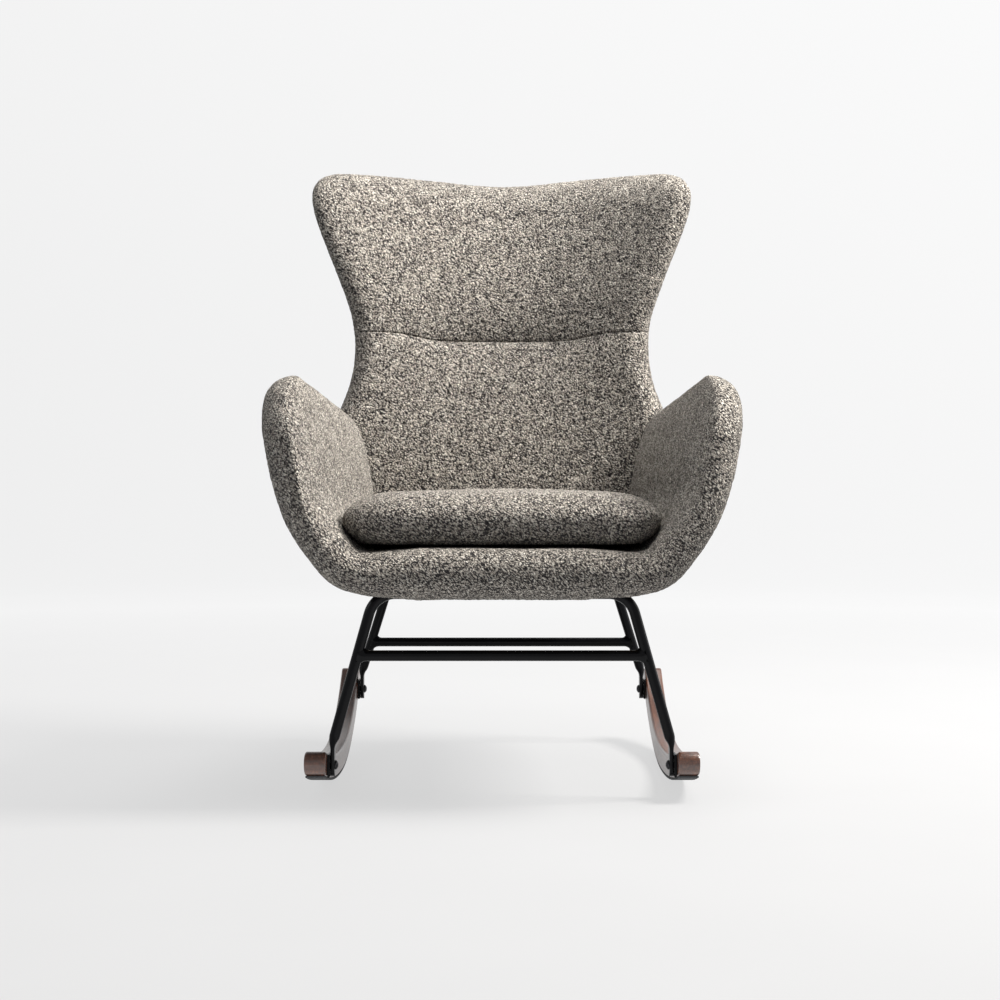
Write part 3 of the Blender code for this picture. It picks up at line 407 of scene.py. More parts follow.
BOUCLE = boucle_material("boucle_melange")
STEEL = steel_material()
WALNUT = wood_material()
RUBBER = simple_material("grip_rubber", (0.020, 0.021, 0.023), (0.045, 0.046, 0.050), 220.0,
                         0.82, bump=0.5)
BLACK_BOLT = simple_material("black_oxide", (0.012, 0.012, 0.013), (0.035, 0.035, 0.038), 300.0,
                             0.36, metallic=0.9, bump=0.1)
ZINC = simple_material("zinc_plate", (0.42, 0.43, 0.45), (0.62, 0.62, 0.60), 160.0, 0.38,
                       metallic=1.0, bump=0.1)
PLYWOOD = simple_material("birch_plywood", (0.44, 0.29, 0.16), (0.66, 0.49, 0.31), 12.0, 0.68,
                          stretch=(2.0, 18.0, 60.0))
LINING = simple_material("black_lining", (0.010, 0.010, 0.010), (0.030, 0.030, 0.031), 700.0,
                         0.9, bump=0.6)


def finish_piece(obj, material, slot, *nodes, body=BODY):
    """Gives a piece its material and body, and hides the CAD nodes that it replaces; the slot
    argument is not used.
    """
    obj.data.materials.clear()
    obj.data.materials.append(material)
    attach(obj, body)
    if nodes:
        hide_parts(*nodes)
    return obj


def nubble(obj, lump=0.0022, nub=0.0017):
    """Gives upholstery its soft unevenness and the nubs of its yarn."""
    slant = bpy.data.objects.new("slant", None)
    slant.rotation_euler = (0, -NUB_SLANT, 0)
    slant.scale = (1.6, 1, 1)
    scene.collection.objects.link(slant)
    bpy.context.view_layer.update()
    waves = bpy.data.textures.new("waves", "CLOUDS")
    waves.noise_scale = WAVE_SIZE
    yarn = bpy.data.textures.new("yarn", "VORONOI")
    yarn.noise_scale = NUB_SIZE
    yarn.distance_metric = "DISTANCE_SQUARED"
    for texture, strength, level in ((waves, lump, 0.5), (yarn, -nub, 0.35)):
        modifier = obj.modifiers.new(texture.name, "DISPLACE")
        modifier.texture = texture
        modifier.texture_coords = "OBJECT"
        modifier.texture_coords_object = slant
        modifier.strength = strength
        modifier.mid_level = level
    apply_modifiers(obj)
    bpy.data.objects.remove(slant)


# ---------------------------------------------------------------- the back
TUB_FRONT = spline(TUB_LINE_FRONT, LINE_POINTS)
TUB_REAR = spline(TUB_LINE_REAR, LINE_POINTS)
TUB_LENGTH = float(np.linalg.norm(np.diff(TUB_FRONT, axis=0), axis=1).sum())
BACK_HALF = spline(BACK_OUTLINE, OUTLINE_POINTS)
BACK_SIDE = slice(450, 2300)  # where the outline climbs all the way
DEPTH_CURVE = spline(BACK_DEPTH, 200)
WRAP_CURVE = spline(BACK_WRAP, 200)

OUTLINE_TREE = kdtree.KDTree(len(BACK_HALF))
for index, (x, z) in enumerate(BACK_HALF):
    OUTLINE_TREE.insert((x, z, 0.0), index)
OUTLINE_TREE.balance()


def outline_distance(x, z):
    """Distance of each point from the back's outline."""
    flat = [OUTLINE_TREE.find((abs(a), b, 0.0))[2] for a, b in zip(x.ravel(), z.ravel())]
    return np.array(flat).reshape(x.shape)


def back_mid_y(x, z):
    """Middle surface of the back: it leans backwards, and its wings wrap forwards."""
    depth = np.interp(z, DEPTH_CURVE[:, 0], DEPTH_CURVE[:, 1])
    wrap = np.interp(z, WRAP_CURVE[:, 0], WRAP_CURVE[:, 1])
    return FRONT_Y + depth - wrap * (np.abs(x) / 0.3) ** 2


def seam_height(x):
    return SEAM_Z + SEAM_RISE * smoothstep(*SEAM_RISE_X, np.abs(x))


def back_front_y(x, z, away):
    """Front surface of the back, with the tuck along its seam."""
    round_r = np.interp(z, EDGE_ROUND_Z, EDGE_ROUND_R)
    full = BACK_HALF_T * round_profile(away, round_r)
    inside = np.clip(away / round_r, 0, 1)
    above = z - seam_height(x)
    reach = np.where(above > 0, TUCK_REACH_ABOVE, TUCK_REACH)
    depth = TUCK_DEPTH + (TUCK_SIDE_DEPTH - TUCK_DEPTH) * smoothstep(*TUCK_SIDE_X, np.abs(x))
    tuck = depth * np.exp(-np.abs(above) / reach) * (TUCK_AT_RIM + (1 - TUCK_AT_RIM) * inside)
    stitch = STITCH_DEPTH * np.exp(-(above / STITCH_WIDTH) ** 2)
    return back_mid_y(x, z) - full + tuck + stitch


def back_places(count, fine_at=None):
    """Places along one side of the back's grid, closer together at both ends."""
    near = rim_steps(0.058, 14) / 0.66
    places = [near, np.linspace(near[-1], 1 - near[-1], count)[1:-1], 1 - near[::-1]]
    if fine_at:
        places.append(np.linspace(fine_at[0], fine_at[1], 44))
    return np.unique(np.round(np.concatenate(places), 6))


def back_grid(rows, columns, fine_rows=None):
    """Grid of (x, z) over the back's outline, and each point's distance from the outline."""
    marks = [int(np.argmin(np.hypot(*(BACK_HALF - BACK_OUTLINE[k]).T))) for k in BACK_CORNERS]
    p, q = back_places(rows, fine_rows), back_places(columns)

    def sample(line, at):
        run = np.concatenate([[0], np.cumsum(np.linalg.norm(np.diff(line, axis=0), axis=1))])
        return np.stack([np.interp(at * run[-1], run, line[:, k]) for k in (0, 1)], 1)

    mirror = np.array([-1, 1])
    bottom = np.vstack([BACK_HALF[marks[0]:0:-1] * mirror, BACK_HALF[:marks[0] + 1]])
    top = np.vstack([BACK_HALF[marks[1]:] * mirror, BACK_HALF[:marks[1] - 1:-1]])
    right = BACK_HALF[marks[0]:marks[1] + 1]
    low, high = sample(bottom, q), sample(top, q)
    east, west = sample(right, p), sample(right, p) * mirror
    P, Q = p[:, None, None], q[None, :, None]
    grid = ((1 - P) * low[None] + P * high[None] + (1 - Q) * west[:, None] + Q * east[:, None]
            - (1 - P) * ((1 - Q) * low[0] + Q * low[-1])
            - P * ((1 - Q) * high[0] + Q * high[-1]))
    away = outline_distance(grid[..., 0], grid[..., 1])
    away[0], away[-1], away[:, 0], away[:, -1] = 0, 0, 0, 0
    return grid[..., 0], grid[..., 1], away


def capped_grid(name, x, y, z, closing_y):
    """A closed piece: one fine grid, and rings that close it behind its border."""
    rows, columns = x.shape
    points = np.stack([x, y, z], -1).reshape(-1, 3)
    faces = [list(face) for face in grid_faces(rows, columns)]
    border = ([i * columns for i in range(rows)]
              + [(rows - 1) * columns + j for j in range(1, columns)]
              + [i * columns + columns - 1 for i in range(rows - 2, -1, -1)]
              + list(range(columns - 2, 0, -1)))
    centre = points[border].mean(0)
    rings, previous = [points], np.array(border)
    for keep in (0.97, 0.7, 0.4, 0.1):
        ring = centre + (points[border] - centre) * keep
        ring[:, 1] = closing_y(ring[:, 0], ring[:, 2])
        fresh = np.arange(len(border)) + sum(len(r) for r in rings)
        rings.append(ring)
        faces += [[previous[k], previous[(k + 1) % len(border)],
                   fresh[(k + 1) % len(border)], fresh[k]] for k in range(len(border))]
        previous = fresh
    faces.append(list(previous[::-1]))
    return mesh_object(name, np.vstack(rings), faces, merge=1e-6)


def make_back():
    """The padded front of the back, with its seam, and the cover behind it."""
    x, z, away = back_grid(330, 300, fine_rows=(0.52, 0.60))
    front = capped_grid("back_front_cover", x, back_front_y(x, z, away), z,
                        lambda a, b: back_mid_y(a, b) - 0.0002)
    nubble(front)
    finish_piece(front, BOUCLE, "boucle", "back_lower_pad", "head_pad")

    x, z, away = back_grid(230, 230)
    bulge = REAR_BULGE * smoothstep(0.0, 0.2, away)
    y = back_mid_y(x, z) + COVER_GAP + BACK_HALF_T * round_profile(away, REAR_EDGE_R) + bulge
    rear = capped_grid("outer_back_panel", x, y, z, lambda a, b: back_mid_y(a, b) + 0.001)
    nubble(rear)
    finish_piece(rear, BOUCLE, "boucle", "outer_back_cover")


# ---------------------------------------------------------------- the tub: seat base and arms
def at_index(line, k):
    """Points of a line at places k, counted in its points."""
    i = np.clip(k.astype(int), 0, len(line) - 2)
    t = np.clip(k, 0, len(line) - 1) - i
    return line[i] + (line[i + 1] - line[i]) * t[..., None]


def tub_mid(w, k):
    """Points and outward normals of the tub's middle surface; w runs towards the back."""
    def at(index):
        return (1 - w[..., None]) * at_index(TUB_FRONT, index) + w[..., None] * at_index(
            TUB_REAR, index)

    ahead = at(k + 1.5) - at(k - 1.5)
    ahead /= np.linalg.norm(ahead, axis=-1, keepdims=True)
    return at(k), np.stack([ahead[..., 1], -ahead[..., 0]], -1)


def tub_edge(from_tip, depth):
    """Distance from the tub's edge, which turns round a corner at the tip of an arm."""
    corner = TIP_CORNER_R - np.hypot(TIP_CORNER_R - from_tip, TIP_CORNER_R - depth)
    rounded = (from_tip < TIP_CORNER_R) & (depth < TIP_CORNER_R)
    return np.where(rounded, corner, np.minimum(from_tip, depth))


def back_face_y(x, z):
    """Front surface of the back, or its middle surface beside it and below it."""
    widths, heights = BACK_HALF[BACK_SIDE].T
    half_width = np.interp(z, heights, widths, left=0.2)
    inside = (z > BACK_OUTLINE[0][1]) & (x < half_width)
    away = np.where(inside, outline_distance(x, z), 0)
    return np.where(inside, back_front_y(x, z, away), back_mid_y(x, z))


def make_tub():
    """One sewn cover over the seat base and both arms, from an inner and an outer surface."""
    tip = rim_steps(RIM_R * INNER_ROUND, 26) / TUB_LENGTH
    body = np.linspace(tip[-1], 1.0, int((1 - tip[-1]) * TUB_LENGTH / FINE))[1:]
    share = 1 - np.concatenate([tip, body])
    signed = np.concatenate([share[:-1], -share[::-1]])
    share = np.abs(signed)[:, None]
    beside = np.array([0.0007, 0.0015, 0.0025, 0.004])
    piping = PIPING_AT + np.concatenate([-beside, [0], beside])
    depth = np.unique(np.concatenate([rim_steps(RIM_R, 16), piping,
                                      np.linspace(RIM_R, PITCH, int(PITCH / FINE))]))[None]
    from_tip = TUB_LENGTH * (1 - share)
    short = np.clip(TIP_CORNER_R - from_tip, 0, None)
    start = TIP_CORNER_R - np.sqrt(TIP_CORNER_R ** 2 - short ** 2)
    at = start + depth * (PITCH - start) / PITCH
    k = np.broadcast_to(share * (LINE_POINTS - 1), at.shape)
    mid, normal = tub_mid(at / PITCH, k)

    full_half = np.interp(share, TUB_T_SHARES,
                          [TUB_T_BASE, TUB_T_CORNER, TUB_T_CORNER, TUB_T_ARM]) / 2
    end_mid, end_normal = tub_mid(np.ones_like(share), share * (LINE_POINTS - 1))
    across = [end_mid + end_normal * (full_half * way)[..., None] for way in np.linspace(-1, 1, 7)]
    end_y = np.min([back_face_y(p[..., 0], p[..., 1]) for p in across], axis=0)
    rise = np.clip((share - ARM_FROM) / (1 - ARM_FROM), 0, 1)
    front_y = TUB_FRONT_Y + ARM_SETBACK * rise ** 2
    y = front_y + at / PITCH * (end_y + 0.0015 - front_y)

    away = tub_edge(from_tip, at)
    top_edge = smoothstep(*TOP_EDGE, at / (at + from_tip + 1e-9))
    rear_round = 1 - REAR_NARROWING * (1 - round_profile(PITCH - at, REAR_ROUND_R))
    faces = []
    kept = INNER_LEAN + (REAR_LEAN - INNER_LEAN) * np.minimum(at / LEAN_DEPTH, 1)
    arm = smoothstep(*LEAN_SHARES, share)
    lean = 1 + (kept - 1) * arm
    for way, stretch in ((-1, INNER_ROUND), (1, 1.0)):
        radius = RIM_R * (1 + (stretch - 1) * np.maximum(top_edge, arm))
        if way < 0:
            radius = radius * (1 - BASE_TIGHTENING * (1 - smoothstep(*BASE_SHARES, share)))
        profile = round_profile(away, radius)
        half = full_half * profile * rear_round * (lean if way < 0 else 1.0)
        if way > 0:
            groove = PIPING_DEPTH * np.exp(-((at - PIPING_AT) / PIPING_WIDTH) ** 2)
            half = half - groove * profile
        place = mid + normal * (way * half)[..., None]
        x = np.sign(signed)[:, None] * place[..., 0]
        faces.append(np.stack([x, y, place[..., 1]], -1))
    inner, outer = faces
    pocket = ((np.abs(outer[..., 0]) < BOARD_HIGH.x + 0.001)
              & (outer[..., 1] > BOARD_LOW.y - 0.001) & (outer[..., 2] < BOARD_HIGH.z + 0.002))
    outer[..., 2] = np.where(pocket, BOARD_HIGH.z + 0.002, outer[..., 2])
    rows, columns = inner.shape[:2]
    count = rows * columns
    quads = np.concatenate([grid_faces(rows, columns), grid_faces(rows, columns, count, True)])
    last = np.arange(rows) * columns + columns - 1
    end = np.stack([last[:-1], last[1:], last[1:] + count, last[:-1] + count], 1)
    points = np.concatenate([inner.reshape(-1, 3), outer.reshape(-1, 3)])
    tub = mesh_object("tub_cover", points, np.concatenate([quads, end]), merge=2e-6)
    nubble(tub)
    finish_piece(tub, BOUCLE, "boucle", "arm_pad_left", "arm_pad_right", "seat_base_pad")


# ---------------------------------------------------------------- loose cushion
def make_cushion():
    """Plump loose cushion, lens-shaped at its ends and narrower at the rear."""
    low_z, high_z = CUSHION_LOW.z - CUSHION_DOWN, CUSHION_HIGH.z
    front_y, rear_y = CUSHION_LOW.y - CUSHION_AHEAD, CUSHION_HIGH.y
    depth, middle_y = rear_y - front_y, (rear_y + front_y) / 2
    seam_z = low_z + CUSHION_SEAM_SHARE * (high_z - low_z)
    turn = np.linspace(0, 2 * math.pi, CUSHION_AROUND, endpoint=False)
    round_x, round_y = (np.sign(v) * np.abs(v) ** CUSHION_CORNER_POWER
                        for v in (np.cos(turn), np.sin(turn)))
    rings = []
    for t in np.concatenate([np.linspace(-1, 0, 18), np.linspace(0, 1, 30)[1:]]):
        fall = 1 - math.sqrt(1 - t * t)
        z = seam_z + t * (seam_z - low_z if t < 0 else high_z - seam_z - CUSHION_SWELL_ROOM)
        pull_x, pull_y = (pull * fall for pull in (PULL_BELOW if t < 0 else PULL_ABOVE))
        y = middle_y + round_y * (depth / 2 - pull_y)
        width = CUSHION_HIGH.x + CUSHION_OUT - CUSHION_TAPER * (y - front_y) / depth
        rings.append(np.stack([round_x * (width - pull_x), y, np.full_like(y, z)], 1))
    top, bottom = rings[-1], rings[0]
    centre = np.array([0, middle_y])
    for keep in (0.8, 0.5, 0.2):
        crown = centre + (top[:, :2] - centre) * keep
        crown_z = high_z - CUSHION_SWELL_ROOM + CUSHION_CROWN * (1 - keep)
        rings.append(np.column_stack([crown, np.full(CUSHION_AROUND, crown_z)]))
        under = centre + (bottom[:, :2] - centre) * keep
        rings.insert(0, np.column_stack([under, np.full(CUSHION_AROUND, low_z)]))
    cushion = mesh_object("seat_cushion_cover", np.vstack(rings),
                          closed_tube(len(rings), CUSHION_AROUND))
    remesh = cushion.modifiers.new("remesh", "REMESH")
    remesh.mode = "VOXEL"
    remesh.voxel_size = VOXEL
    apply_modifiers(cushion)
    inflate(cushion, SWELL_CAP)
    smooth = cushion.modifiers.new("smooth", "SMOOTH")
    smooth.iterations = 4
    fine = cushion.modifiers.new("fine", "SUBSURF")
    fine.levels = fine.render_levels = 1
    apply_modifiers(cushion)
    nubble(cushion)
    for vert in cushion.data.vertices:
        vert.co.z = max(vert.co.z, low_z - 0.0005)
    finish_piece(cushion, BOUCLE, "cushion_boucle", "seat_cushion", body=LOOSE_BODY)


def inflate(obj, cap):
    """Cloth simulation under pressure; no point moves further than cap."""
    rest = np.array([v.co for v in obj.data.vertices])
    cloth = obj.modifiers.new("cloth", "CLOTH")
    cloth.settings.use_pressure = True
    cloth.settings.uniform_pressure_force = PRESSURE
    cloth.settings.effector_weights.gravity = 0.0
    cloth.settings.quality = 5
    cloth.point_cache.frame_end = CLOTH_FRAMES
    for number in range(1, CLOTH_FRAMES + 1):
        scene.frame_set(number)
    graph = bpy.context.evaluated_depsgraph_get()
    moved = np.array([v.co for v in obj.evaluated_get(graph).data.vertices]) - rest
    obj.modifiers.clear()
    scene.frame_set(1)
    length = np.linalg.norm(moved, axis=1, keepdims=True)
    moved *= np.minimum(1, cap / np.maximum(length, 1e-9))
    obj.data.vertices.foreach_set("co", (rest + moved).ravel())
    obj.data.update()


# ---------------------------------------------------------------- tube frames
def filleted(points, radii, step):
    """A flat polyline with its inner corners rounded, as evenly stepped (x, z) points."""
    pts = [np.array(p, float) for p in points]
    out = [pts[0]]
    for i in range(1, len(pts) - 1):
        a, b, c, r = pts[i - 1], pts[i], pts[i + 1], radii[i - 1]
        u = (a - b) / np.linalg.norm(a - b)
        w = (c - b) / np.linalg.norm(c - b)
        half = math.acos(float(np.clip(u @ w, -1, 1))) / 2
        centre = b + (u + w) / np.linalg.norm(u + w) * r / math.sin(half)
        first, last = b + u * r / math.tan(half), b + w * r / math.tan(half)
        for t in np.linspace(0, 1, max(3, int((math.pi - 2 * half) * r / step) + 2)):
            ray = (1 - t) * (first - centre) + t * (last - centre)
            out.append(centre + ray / np.linalg.norm(ray) * r)
    out.append(pts[-1])
    return np.array(out)


def make_leg_frame(end):
    slope, corner, y = LEG_SLOPE[end], LEG_TOP_X[end], END_Y[end]
    knee_z = TOP_RUN_Z - (TAB_X - corner) / slope
    path = filleted([(0, TOP_RUN_Z), (corner, TOP_RUN_Z), (TAB_X, knee_z), (TAB_X, TAB_END[end])],
                    [TUBE_BEND_R, KNEE_R], TUBE_STEP)
    length = np.linalg.norm(np.diff(path, axis=0), axis=1).sum()
    path = resample(path, int(length / TUBE_STEP))
    whole = np.vstack([path[:0:-1] * (-1, 1), path])
    ahead = np.gradient(whole, axis=0)
    ahead /= np.linalg.norm(ahead, axis=1, keepdims=True)
    normal = np.stack([-ahead[:, 1], ahead[:, 0]], 1)
    flat = smoothstep(0, FLATTEN_OVER, knee_z + FLATTEN_ABOVE - whole[:, 1])[:, None]
    a = TUBE_R + (TAB_HALF_T - TUBE_R) * flat
    b = TUBE_R + (TAB_HALF_W - TUBE_R) * flat
    left = np.clip((whole[:, 1:] - TAB_END[end]) / TAB_HALF_W, 0, 1)
    b = b * np.maximum(np.sqrt(1 - (1 - left) ** 2), TAB_LEAST)
    power = 1 - TAB_POWER * flat
    t = np.linspace(0, 2 * math.pi, TUBE_AROUND, endpoint=False)[None]
    across = a * np.sign(np.cos(t)) * np.abs(np.cos(t)) ** power
    points = np.stack([whole[:, :1] + normal[:, :1] * across,
                       y + b * np.sign(np.sin(t)) * np.abs(np.sin(t)) ** power,
                       whole[:, 1:] + normal[:, 1:] * across], -1)
    tube = mesh_object(f"{end}_frame_tube", points, closed_tube(len(whole), TUBE_AROUND),
                       smooth_deg=50)
    finish_piece(tube, STEEL, "black_steel", f"{end}_leg_frame")


def make_crossbar(end):
    """Bar with its ends fitted round the sloping legs, swelling into the weld beads."""
    slope, y, z0 = LEG_SLOPE[end], END_Y[end], BAR_Z[end]
    leg_x = LEG_TOP_X[end] + slope * (TOP_RUN_Z - z0)
    tilt = math.atan(slope)
    t = np.linspace(0, 2 * math.pi, BAR_AROUND, endpoint=False)
    from_leg = np.array([0.0, 0.0006, 0.0014, 0.0024, 0.0036, 0.0052, 0.0075, 0.011])
    swell = WELD_SWELL * (1 - np.clip(from_leg / WELD_REACH, 0, 1)) ** 2
    rings = []
    for sign in (-1, 1):
        side = []
        for out, grow in zip(from_leg, swell):
            ripple = 1 + WELD_RIPPLE * np.sin(WELD_RIPPLES * t) * (grow > 0)
            r = TUBE_R + grow * ripple
            dy, dz = r * np.cos(t), r * np.sin(t)
            reach = np.sqrt(np.clip((TUBE_R - 0.0004) ** 2 - dy ** 2, 0, None)) / math.cos(tilt)
            side.append(np.stack([sign * (leg_x - slope * dz - reach - out), y + dy, z0 + dz], 1))
        rings += side if sign < 0 else side[::-1]
    bar = mesh_object(f"{end}_cross_tube", np.vstack(rings), closed_tube(len(rings), BAR_AROUND),
                      smooth_deg=60)
    finish_piece(bar, STEEL, "black_steel", f"{end}_crossbar")


# ---------------------------------------------------------------- rockers
def rocker_point(angle, offset):
    """(y, z) at an angle from the contact, offset outwards from the centreline."""
    radius = np.where(angle < 0, FRONT_R, BACK_R)
    centre_z = radius + STRIP_T + ROCKER_H / 2
    return (CONTACT_Y + (radius + offset) * np.sin(angle),
            centre_z - (radius + offset) * np.cos(angle))


def make_rocker(side, sign):
    """Laminated rocker with eased edges and rounded ends."""
    half_w, half_h, edge = (ROCKER_HIGH.x - ROCKER_LOW.x) / 2, ROCKER_H / 2, 0.0035
    middle_x = sign * (ROCKER_HIGH.x + ROCKER_LOW.x) / 2
    first, last = -math.asin(NOSE_REACH / FRONT_R), math.asin(TAIL_REACH / BACK_R)
    ease = np.linspace(0.03, math.pi / 2, 14)
    nose = [(first + half_h * (1 - math.cos(t)) / FRONT_R, math.sin(t)) for t in ease]
    tail = [(last - half_h * (1 - math.cos(t)) / BACK_R, math.sin(t)) for t in ease[::-1]]
    run = [(a, 1.0) for a in np.linspace(nose[-1][0], tail[0][0], 170)[1:-1]]
    corners = []
    for sx, sz, start in ((1, 1, 0), (-1, 1, 90), (-1, -1, 180), (1, -1, 270)):
        for a in np.linspace(0, 90, 7):
            t = math.radians(start + a)
            corners.append((sx * (half_w - edge) + edge * math.cos(t), sz, math.sin(t)))
    rings, grain = [], []
    for angle, full in nose + run + tail:
        ring = []
        for across, sz, rounding in corners:
            offset = (sz * (half_h - edge) + edge * rounding) * full
            y, z = rocker_point(np.array(angle), offset)
            ring.append((middle_x + across, float(y), float(z)))
            grain.append((angle * FRONT_R + 3 * sign, across, offset + 0.1))
        rings.append(ring)
    rocker = mesh_object(f"rocker_wood_{side}", rings, closed_tube(len(rings), len(corners)),
                         smooth_deg=40)
    attribute = rocker.data.attributes.new("grain", "FLOAT_VECTOR", "POINT")
    attribute.data.foreach_set("vector", np.array(grain, np.float32).ravel())
    finish_piece(rocker, WALNUT, "rocker_wood", f"rocker_{side}")


# ---------------------------------------------------------------- cover of the seat board's edge
def make_base_rail():
    """Fabric band round the rear of the seat board, from arm to arm under the back."""
    half_x, rear_y = BOARD_HIGH.x + 0.0045, BOARD_HIGH.y + 0.0045
    corner, front_y = 0.022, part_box("seat_base_pad")[1].y - 0.02
    arc = np.linspace(0, math.pi / 2, 9)
    left = [(half_x, front_y)] + [(half_x - corner + corner * math.cos(t),
                                   rear_y - corner + corner * math.sin(t)) for t in arc]
    path = resample(np.array(left + [(-x, y) for x, y in left[::-1]]), RAIL_POINTS)
    ahead = np.gradient(path, axis=0)
    ahead /= np.linalg.norm(ahead, axis=1, keepdims=True)
    normal = np.stack([ahead[:, 1], -ahead[:, 0]], 1)
    low, high, thick = BOARD_LOW.z + 0.0006, 0.356, 0.0042
    t = np.linspace(0, 2 * math.pi, RAIL_AROUND, endpoint=False)
    across = thick * np.sign(np.cos(t)) * np.abs(np.cos(t)) ** 0.6
    up = (low + high) / 2 + (high - low) / 2 * np.sign(np.sin(t)) * np.abs(np.sin(t)) ** 0.4
    points = np.stack([path[:, :1] - normal[:, :1] * across, path[:, 1:] - normal[:, 1:] * across,
                       np.broadcast_to(up, (RAIL_POINTS, RAIL_AROUND))], -1)
    rail = mesh_object("base_rail_cover", points, closed_tube(RAIL_POINTS, RAIL_AROUND))
    fine = rail.modifiers.new("fine", "SUBSURF")
    fine.levels = fine.render_levels = 1
    apply_modifiers(rail)
    nubble(rail, lump=0.0006, nub=0.0010)
    finish_piece(rail, BOUCLE, "boucle")


# ---------------------------------------------------------------- carried-over CAD nodes
def dress_nodes():
    """Materials for the CAD nodes that no piece above replaces."""
    looks = {"grip_strip": RUBBER, "rocker_spacer": STEEL, "rocker_bolt": BLACK_BOLT,
             "rocker_insert": ZINC, "seat_plate": STEEL, "seat_bolt": BLACK_BOLT,
             "seat_tee_nut": ZINC, "arm_board": PLYWOOD, "back_board": PLYWOOD,
             "seat_board": PLYWOOD, "dust_cover": LINING}
    for name, node in frame["nodes"].items():
        for start, material in looks.items():
            if name.startswith(start):
                node.data.materials.clear()
                node.data.materials.append(material)


# ---------------------------------------------------------------- floor, light and camera
CAMERA_AWAY, CAMERA_HEIGHT, CAMERA_X = 2.62, 0.472, -0.003
FOCAL_MM, SENSOR_MM, SHIFT_Y = 63.72, 36.0, -0.020
SKY, FLOOR_GLOW, WALL_GLOW = 0.235, 0.61, 0.83
# The floor's own glow grows with the distance from a place this far ahead of the chair.
GLOW_FROM, GLOW_REACH, GLOW_ACROSS, GLOW_UP = 1.2, (1.0, 5.0), 0.015, 0.02
FLOOR_TONE = ((0.099, 0.099, 0.101), (0.104, 0.104, 0.106))
LIGHTS = [  # name, place, target, size, power, colour
    ("key", (2.0, -0.15, 2.6), (0.0, 0.0, 0.60), (1.0, 1.0), 208, (1.0, 0.975, 0.93)),
    ("top", (0.3, -0.40, 3.1), (0.0, -0.2, 0.5), (1.6, 0.7), 56, (1.0, 0.985, 0.955)),
    ("rear", (0.6, 1.1, 3.0), (0.0, 0.0, 0.4), (1.2, 1.2), 16, (1.0, 0.99, 0.97)),
    ("side", (3.2, 0.6, 1.2), (0.2, 0.1, 0.6), (0.8, 1.6), 16, (1.0, 0.99, 0.97)),
    ("fill", (-2.6, -0.9, 1.7), (0.0, 0.0, 0.60), (1.6, 1.4), 16, (0.96, 0.975, 1.0)),
    ("bounce", (0.0, -0.75, 0.012), (0.0, -0.75, 1.0), (1.3, 0.9), 3.2, (1.0, 1.0, 1.0)),
]


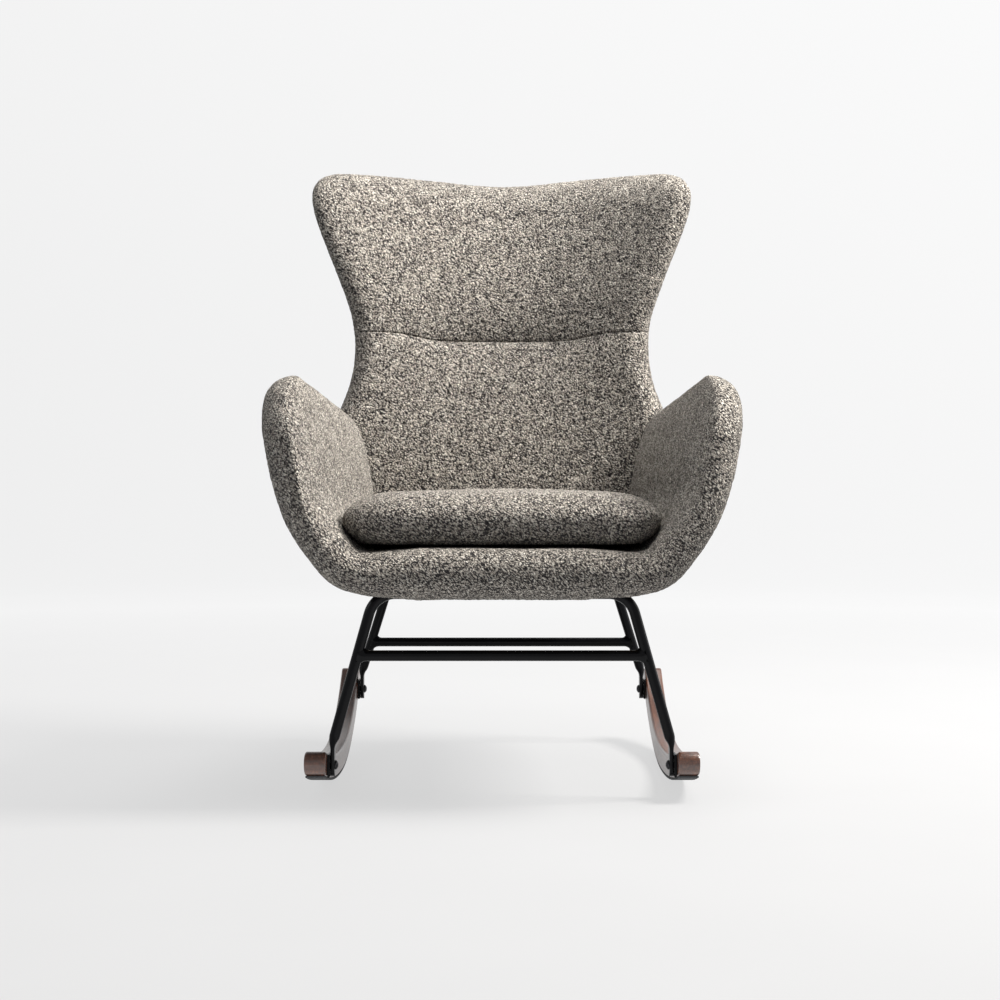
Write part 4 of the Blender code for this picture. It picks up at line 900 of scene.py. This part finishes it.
def make_stage():
    """A round floor that curves up into a wall; only the lamps and the sky light the chair."""
    radius, curve_r, height, sides = 7.0, 2.4, 6.0, 96
    line = [(0.0, 0.0), (1.5, 0.0), (3.0, 0.0)]
    line += [(radius - curve_r + curve_r * math.sin(t), curve_r - curve_r * math.cos(t))
             for t in np.linspace(0, math.pi / 2, 20)] + [(radius, height)]
    turn = np.linspace(0, 2 * math.pi, sides, endpoint=False)
    points = np.array([[(r * math.cos(t), r * math.sin(t), z) for t in turn] for r, z in line])
    stage = mesh_object("studio_floor", points, grid_faces(len(line), sides, closed=True),
                        merge=1e-5)
    material, tree, shader = new_material("pale_floor")
    place = add(tree, "TexCoord")
    noise = add(tree, "TexNoise", {"Vector": (place, "Object"), "Scale": 3.0, "Detail": 4.0})
    tone = ramp(tree, (noise, "Fac"), [(0.3, FLOOR_TONE[0]), (0.7, FLOOR_TONE[1])])
    tree.links.new(tone.outputs["Color"], shader.inputs["Base Color"])
    shader.inputs["Emission Color"].default_value = (1.0, 1.0, 1.0, 1.0)
    axes = add(tree, "SeparateXYZ", {"Vector": (place, "Object")})
    across = maths(tree, "MULTIPLY", (axes, "X"), (axes, "X"))
    behind = maths(tree, "ADD", (axes, "Y"), GLOW_FROM)
    along = maths(tree, "MULTIPLY_ADD", (behind, 0), (behind, 0))
    tree.links.new(across.outputs[0], along.inputs[2])
    reach = maths(tree, "SQRT", (along, 0), 0.0)
    away = add(tree, "MapRange", {"Value": (reach, 0), "From Min": GLOW_REACH[0],
                                  "From Max": GLOW_REACH[1], "To Min": FLOOR_GLOW,
                                  "To Max": WALL_GLOW})
    sideways = maths(tree, "MULTIPLY_ADD", (axes, "X"), GLOW_ACROSS)
    tree.links.new(away.outputs[0], sideways.inputs[2])
    glow = maths(tree, "MULTIPLY_ADD", (axes, "Z"), GLOW_UP)
    tree.links.new(sideways.outputs[0], glow.inputs[2])
    tree.links.new(glow.outputs[0], shader.inputs["Emission Strength"])
    shader.inputs["Roughness"].default_value = 0.8
    shader.inputs["Specular IOR Level"].default_value = 0.1
    stage.data.materials.append(material)
    stage.visible_diffuse = False


def add_light(name, place, target, size, power, colour):
    data = bpy.data.lights.new(name, "AREA")
    data.shape = "RECTANGLE"
    data.size, data.size_y = size
    data.energy = power
    data.color = colour
    light = bpy.data.objects.new(name, data)
    light.location = place
    light.rotation_euler = (Vector(target) - Vector(place)).to_track_quat("-Z", "Y").to_euler()
    light.visible_camera = False
    scene.collection.objects.link(light)


def make_lights():
    for name, *values in LIGHTS:
        add_light(name, *values)
    world = bpy.data.worlds.new("studio")
    world.use_nodes = True
    background = world.node_tree.nodes["Background"]
    background.inputs["Color"].default_value = (0.95, 0.97, 1.0, 1.0)
    background.inputs["Strength"].default_value = SKY
    scene.world = world


def make_camera():
    data = bpy.data.cameras.new("camera")
    data.lens, data.sensor_width, data.shift_y = FOCAL_MM, SENSOR_MM, SHIFT_Y
    camera = bpy.data.objects.new("camera", data)
    camera.location = (CAMERA_X, FRONT_Y - CAMERA_AWAY, CAMERA_HEIGHT)
    camera.rotation_euler = (math.pi / 2, 0, 0)
    scene.collection.objects.link(camera)
    scene.camera = camera


make_camera()
make_back()
make_tub()
make_cushion()
make_base_rail()
for which_end in ENDS:
    make_leg_frame(which_end)
    make_crossbar(which_end)
for side_name, side_sign in SIDES.items():
    make_rocker(side_name, side_sign)
dress_nodes()
make_stage()
make_lights()
scene.view_settings.view_transform = "Standard"
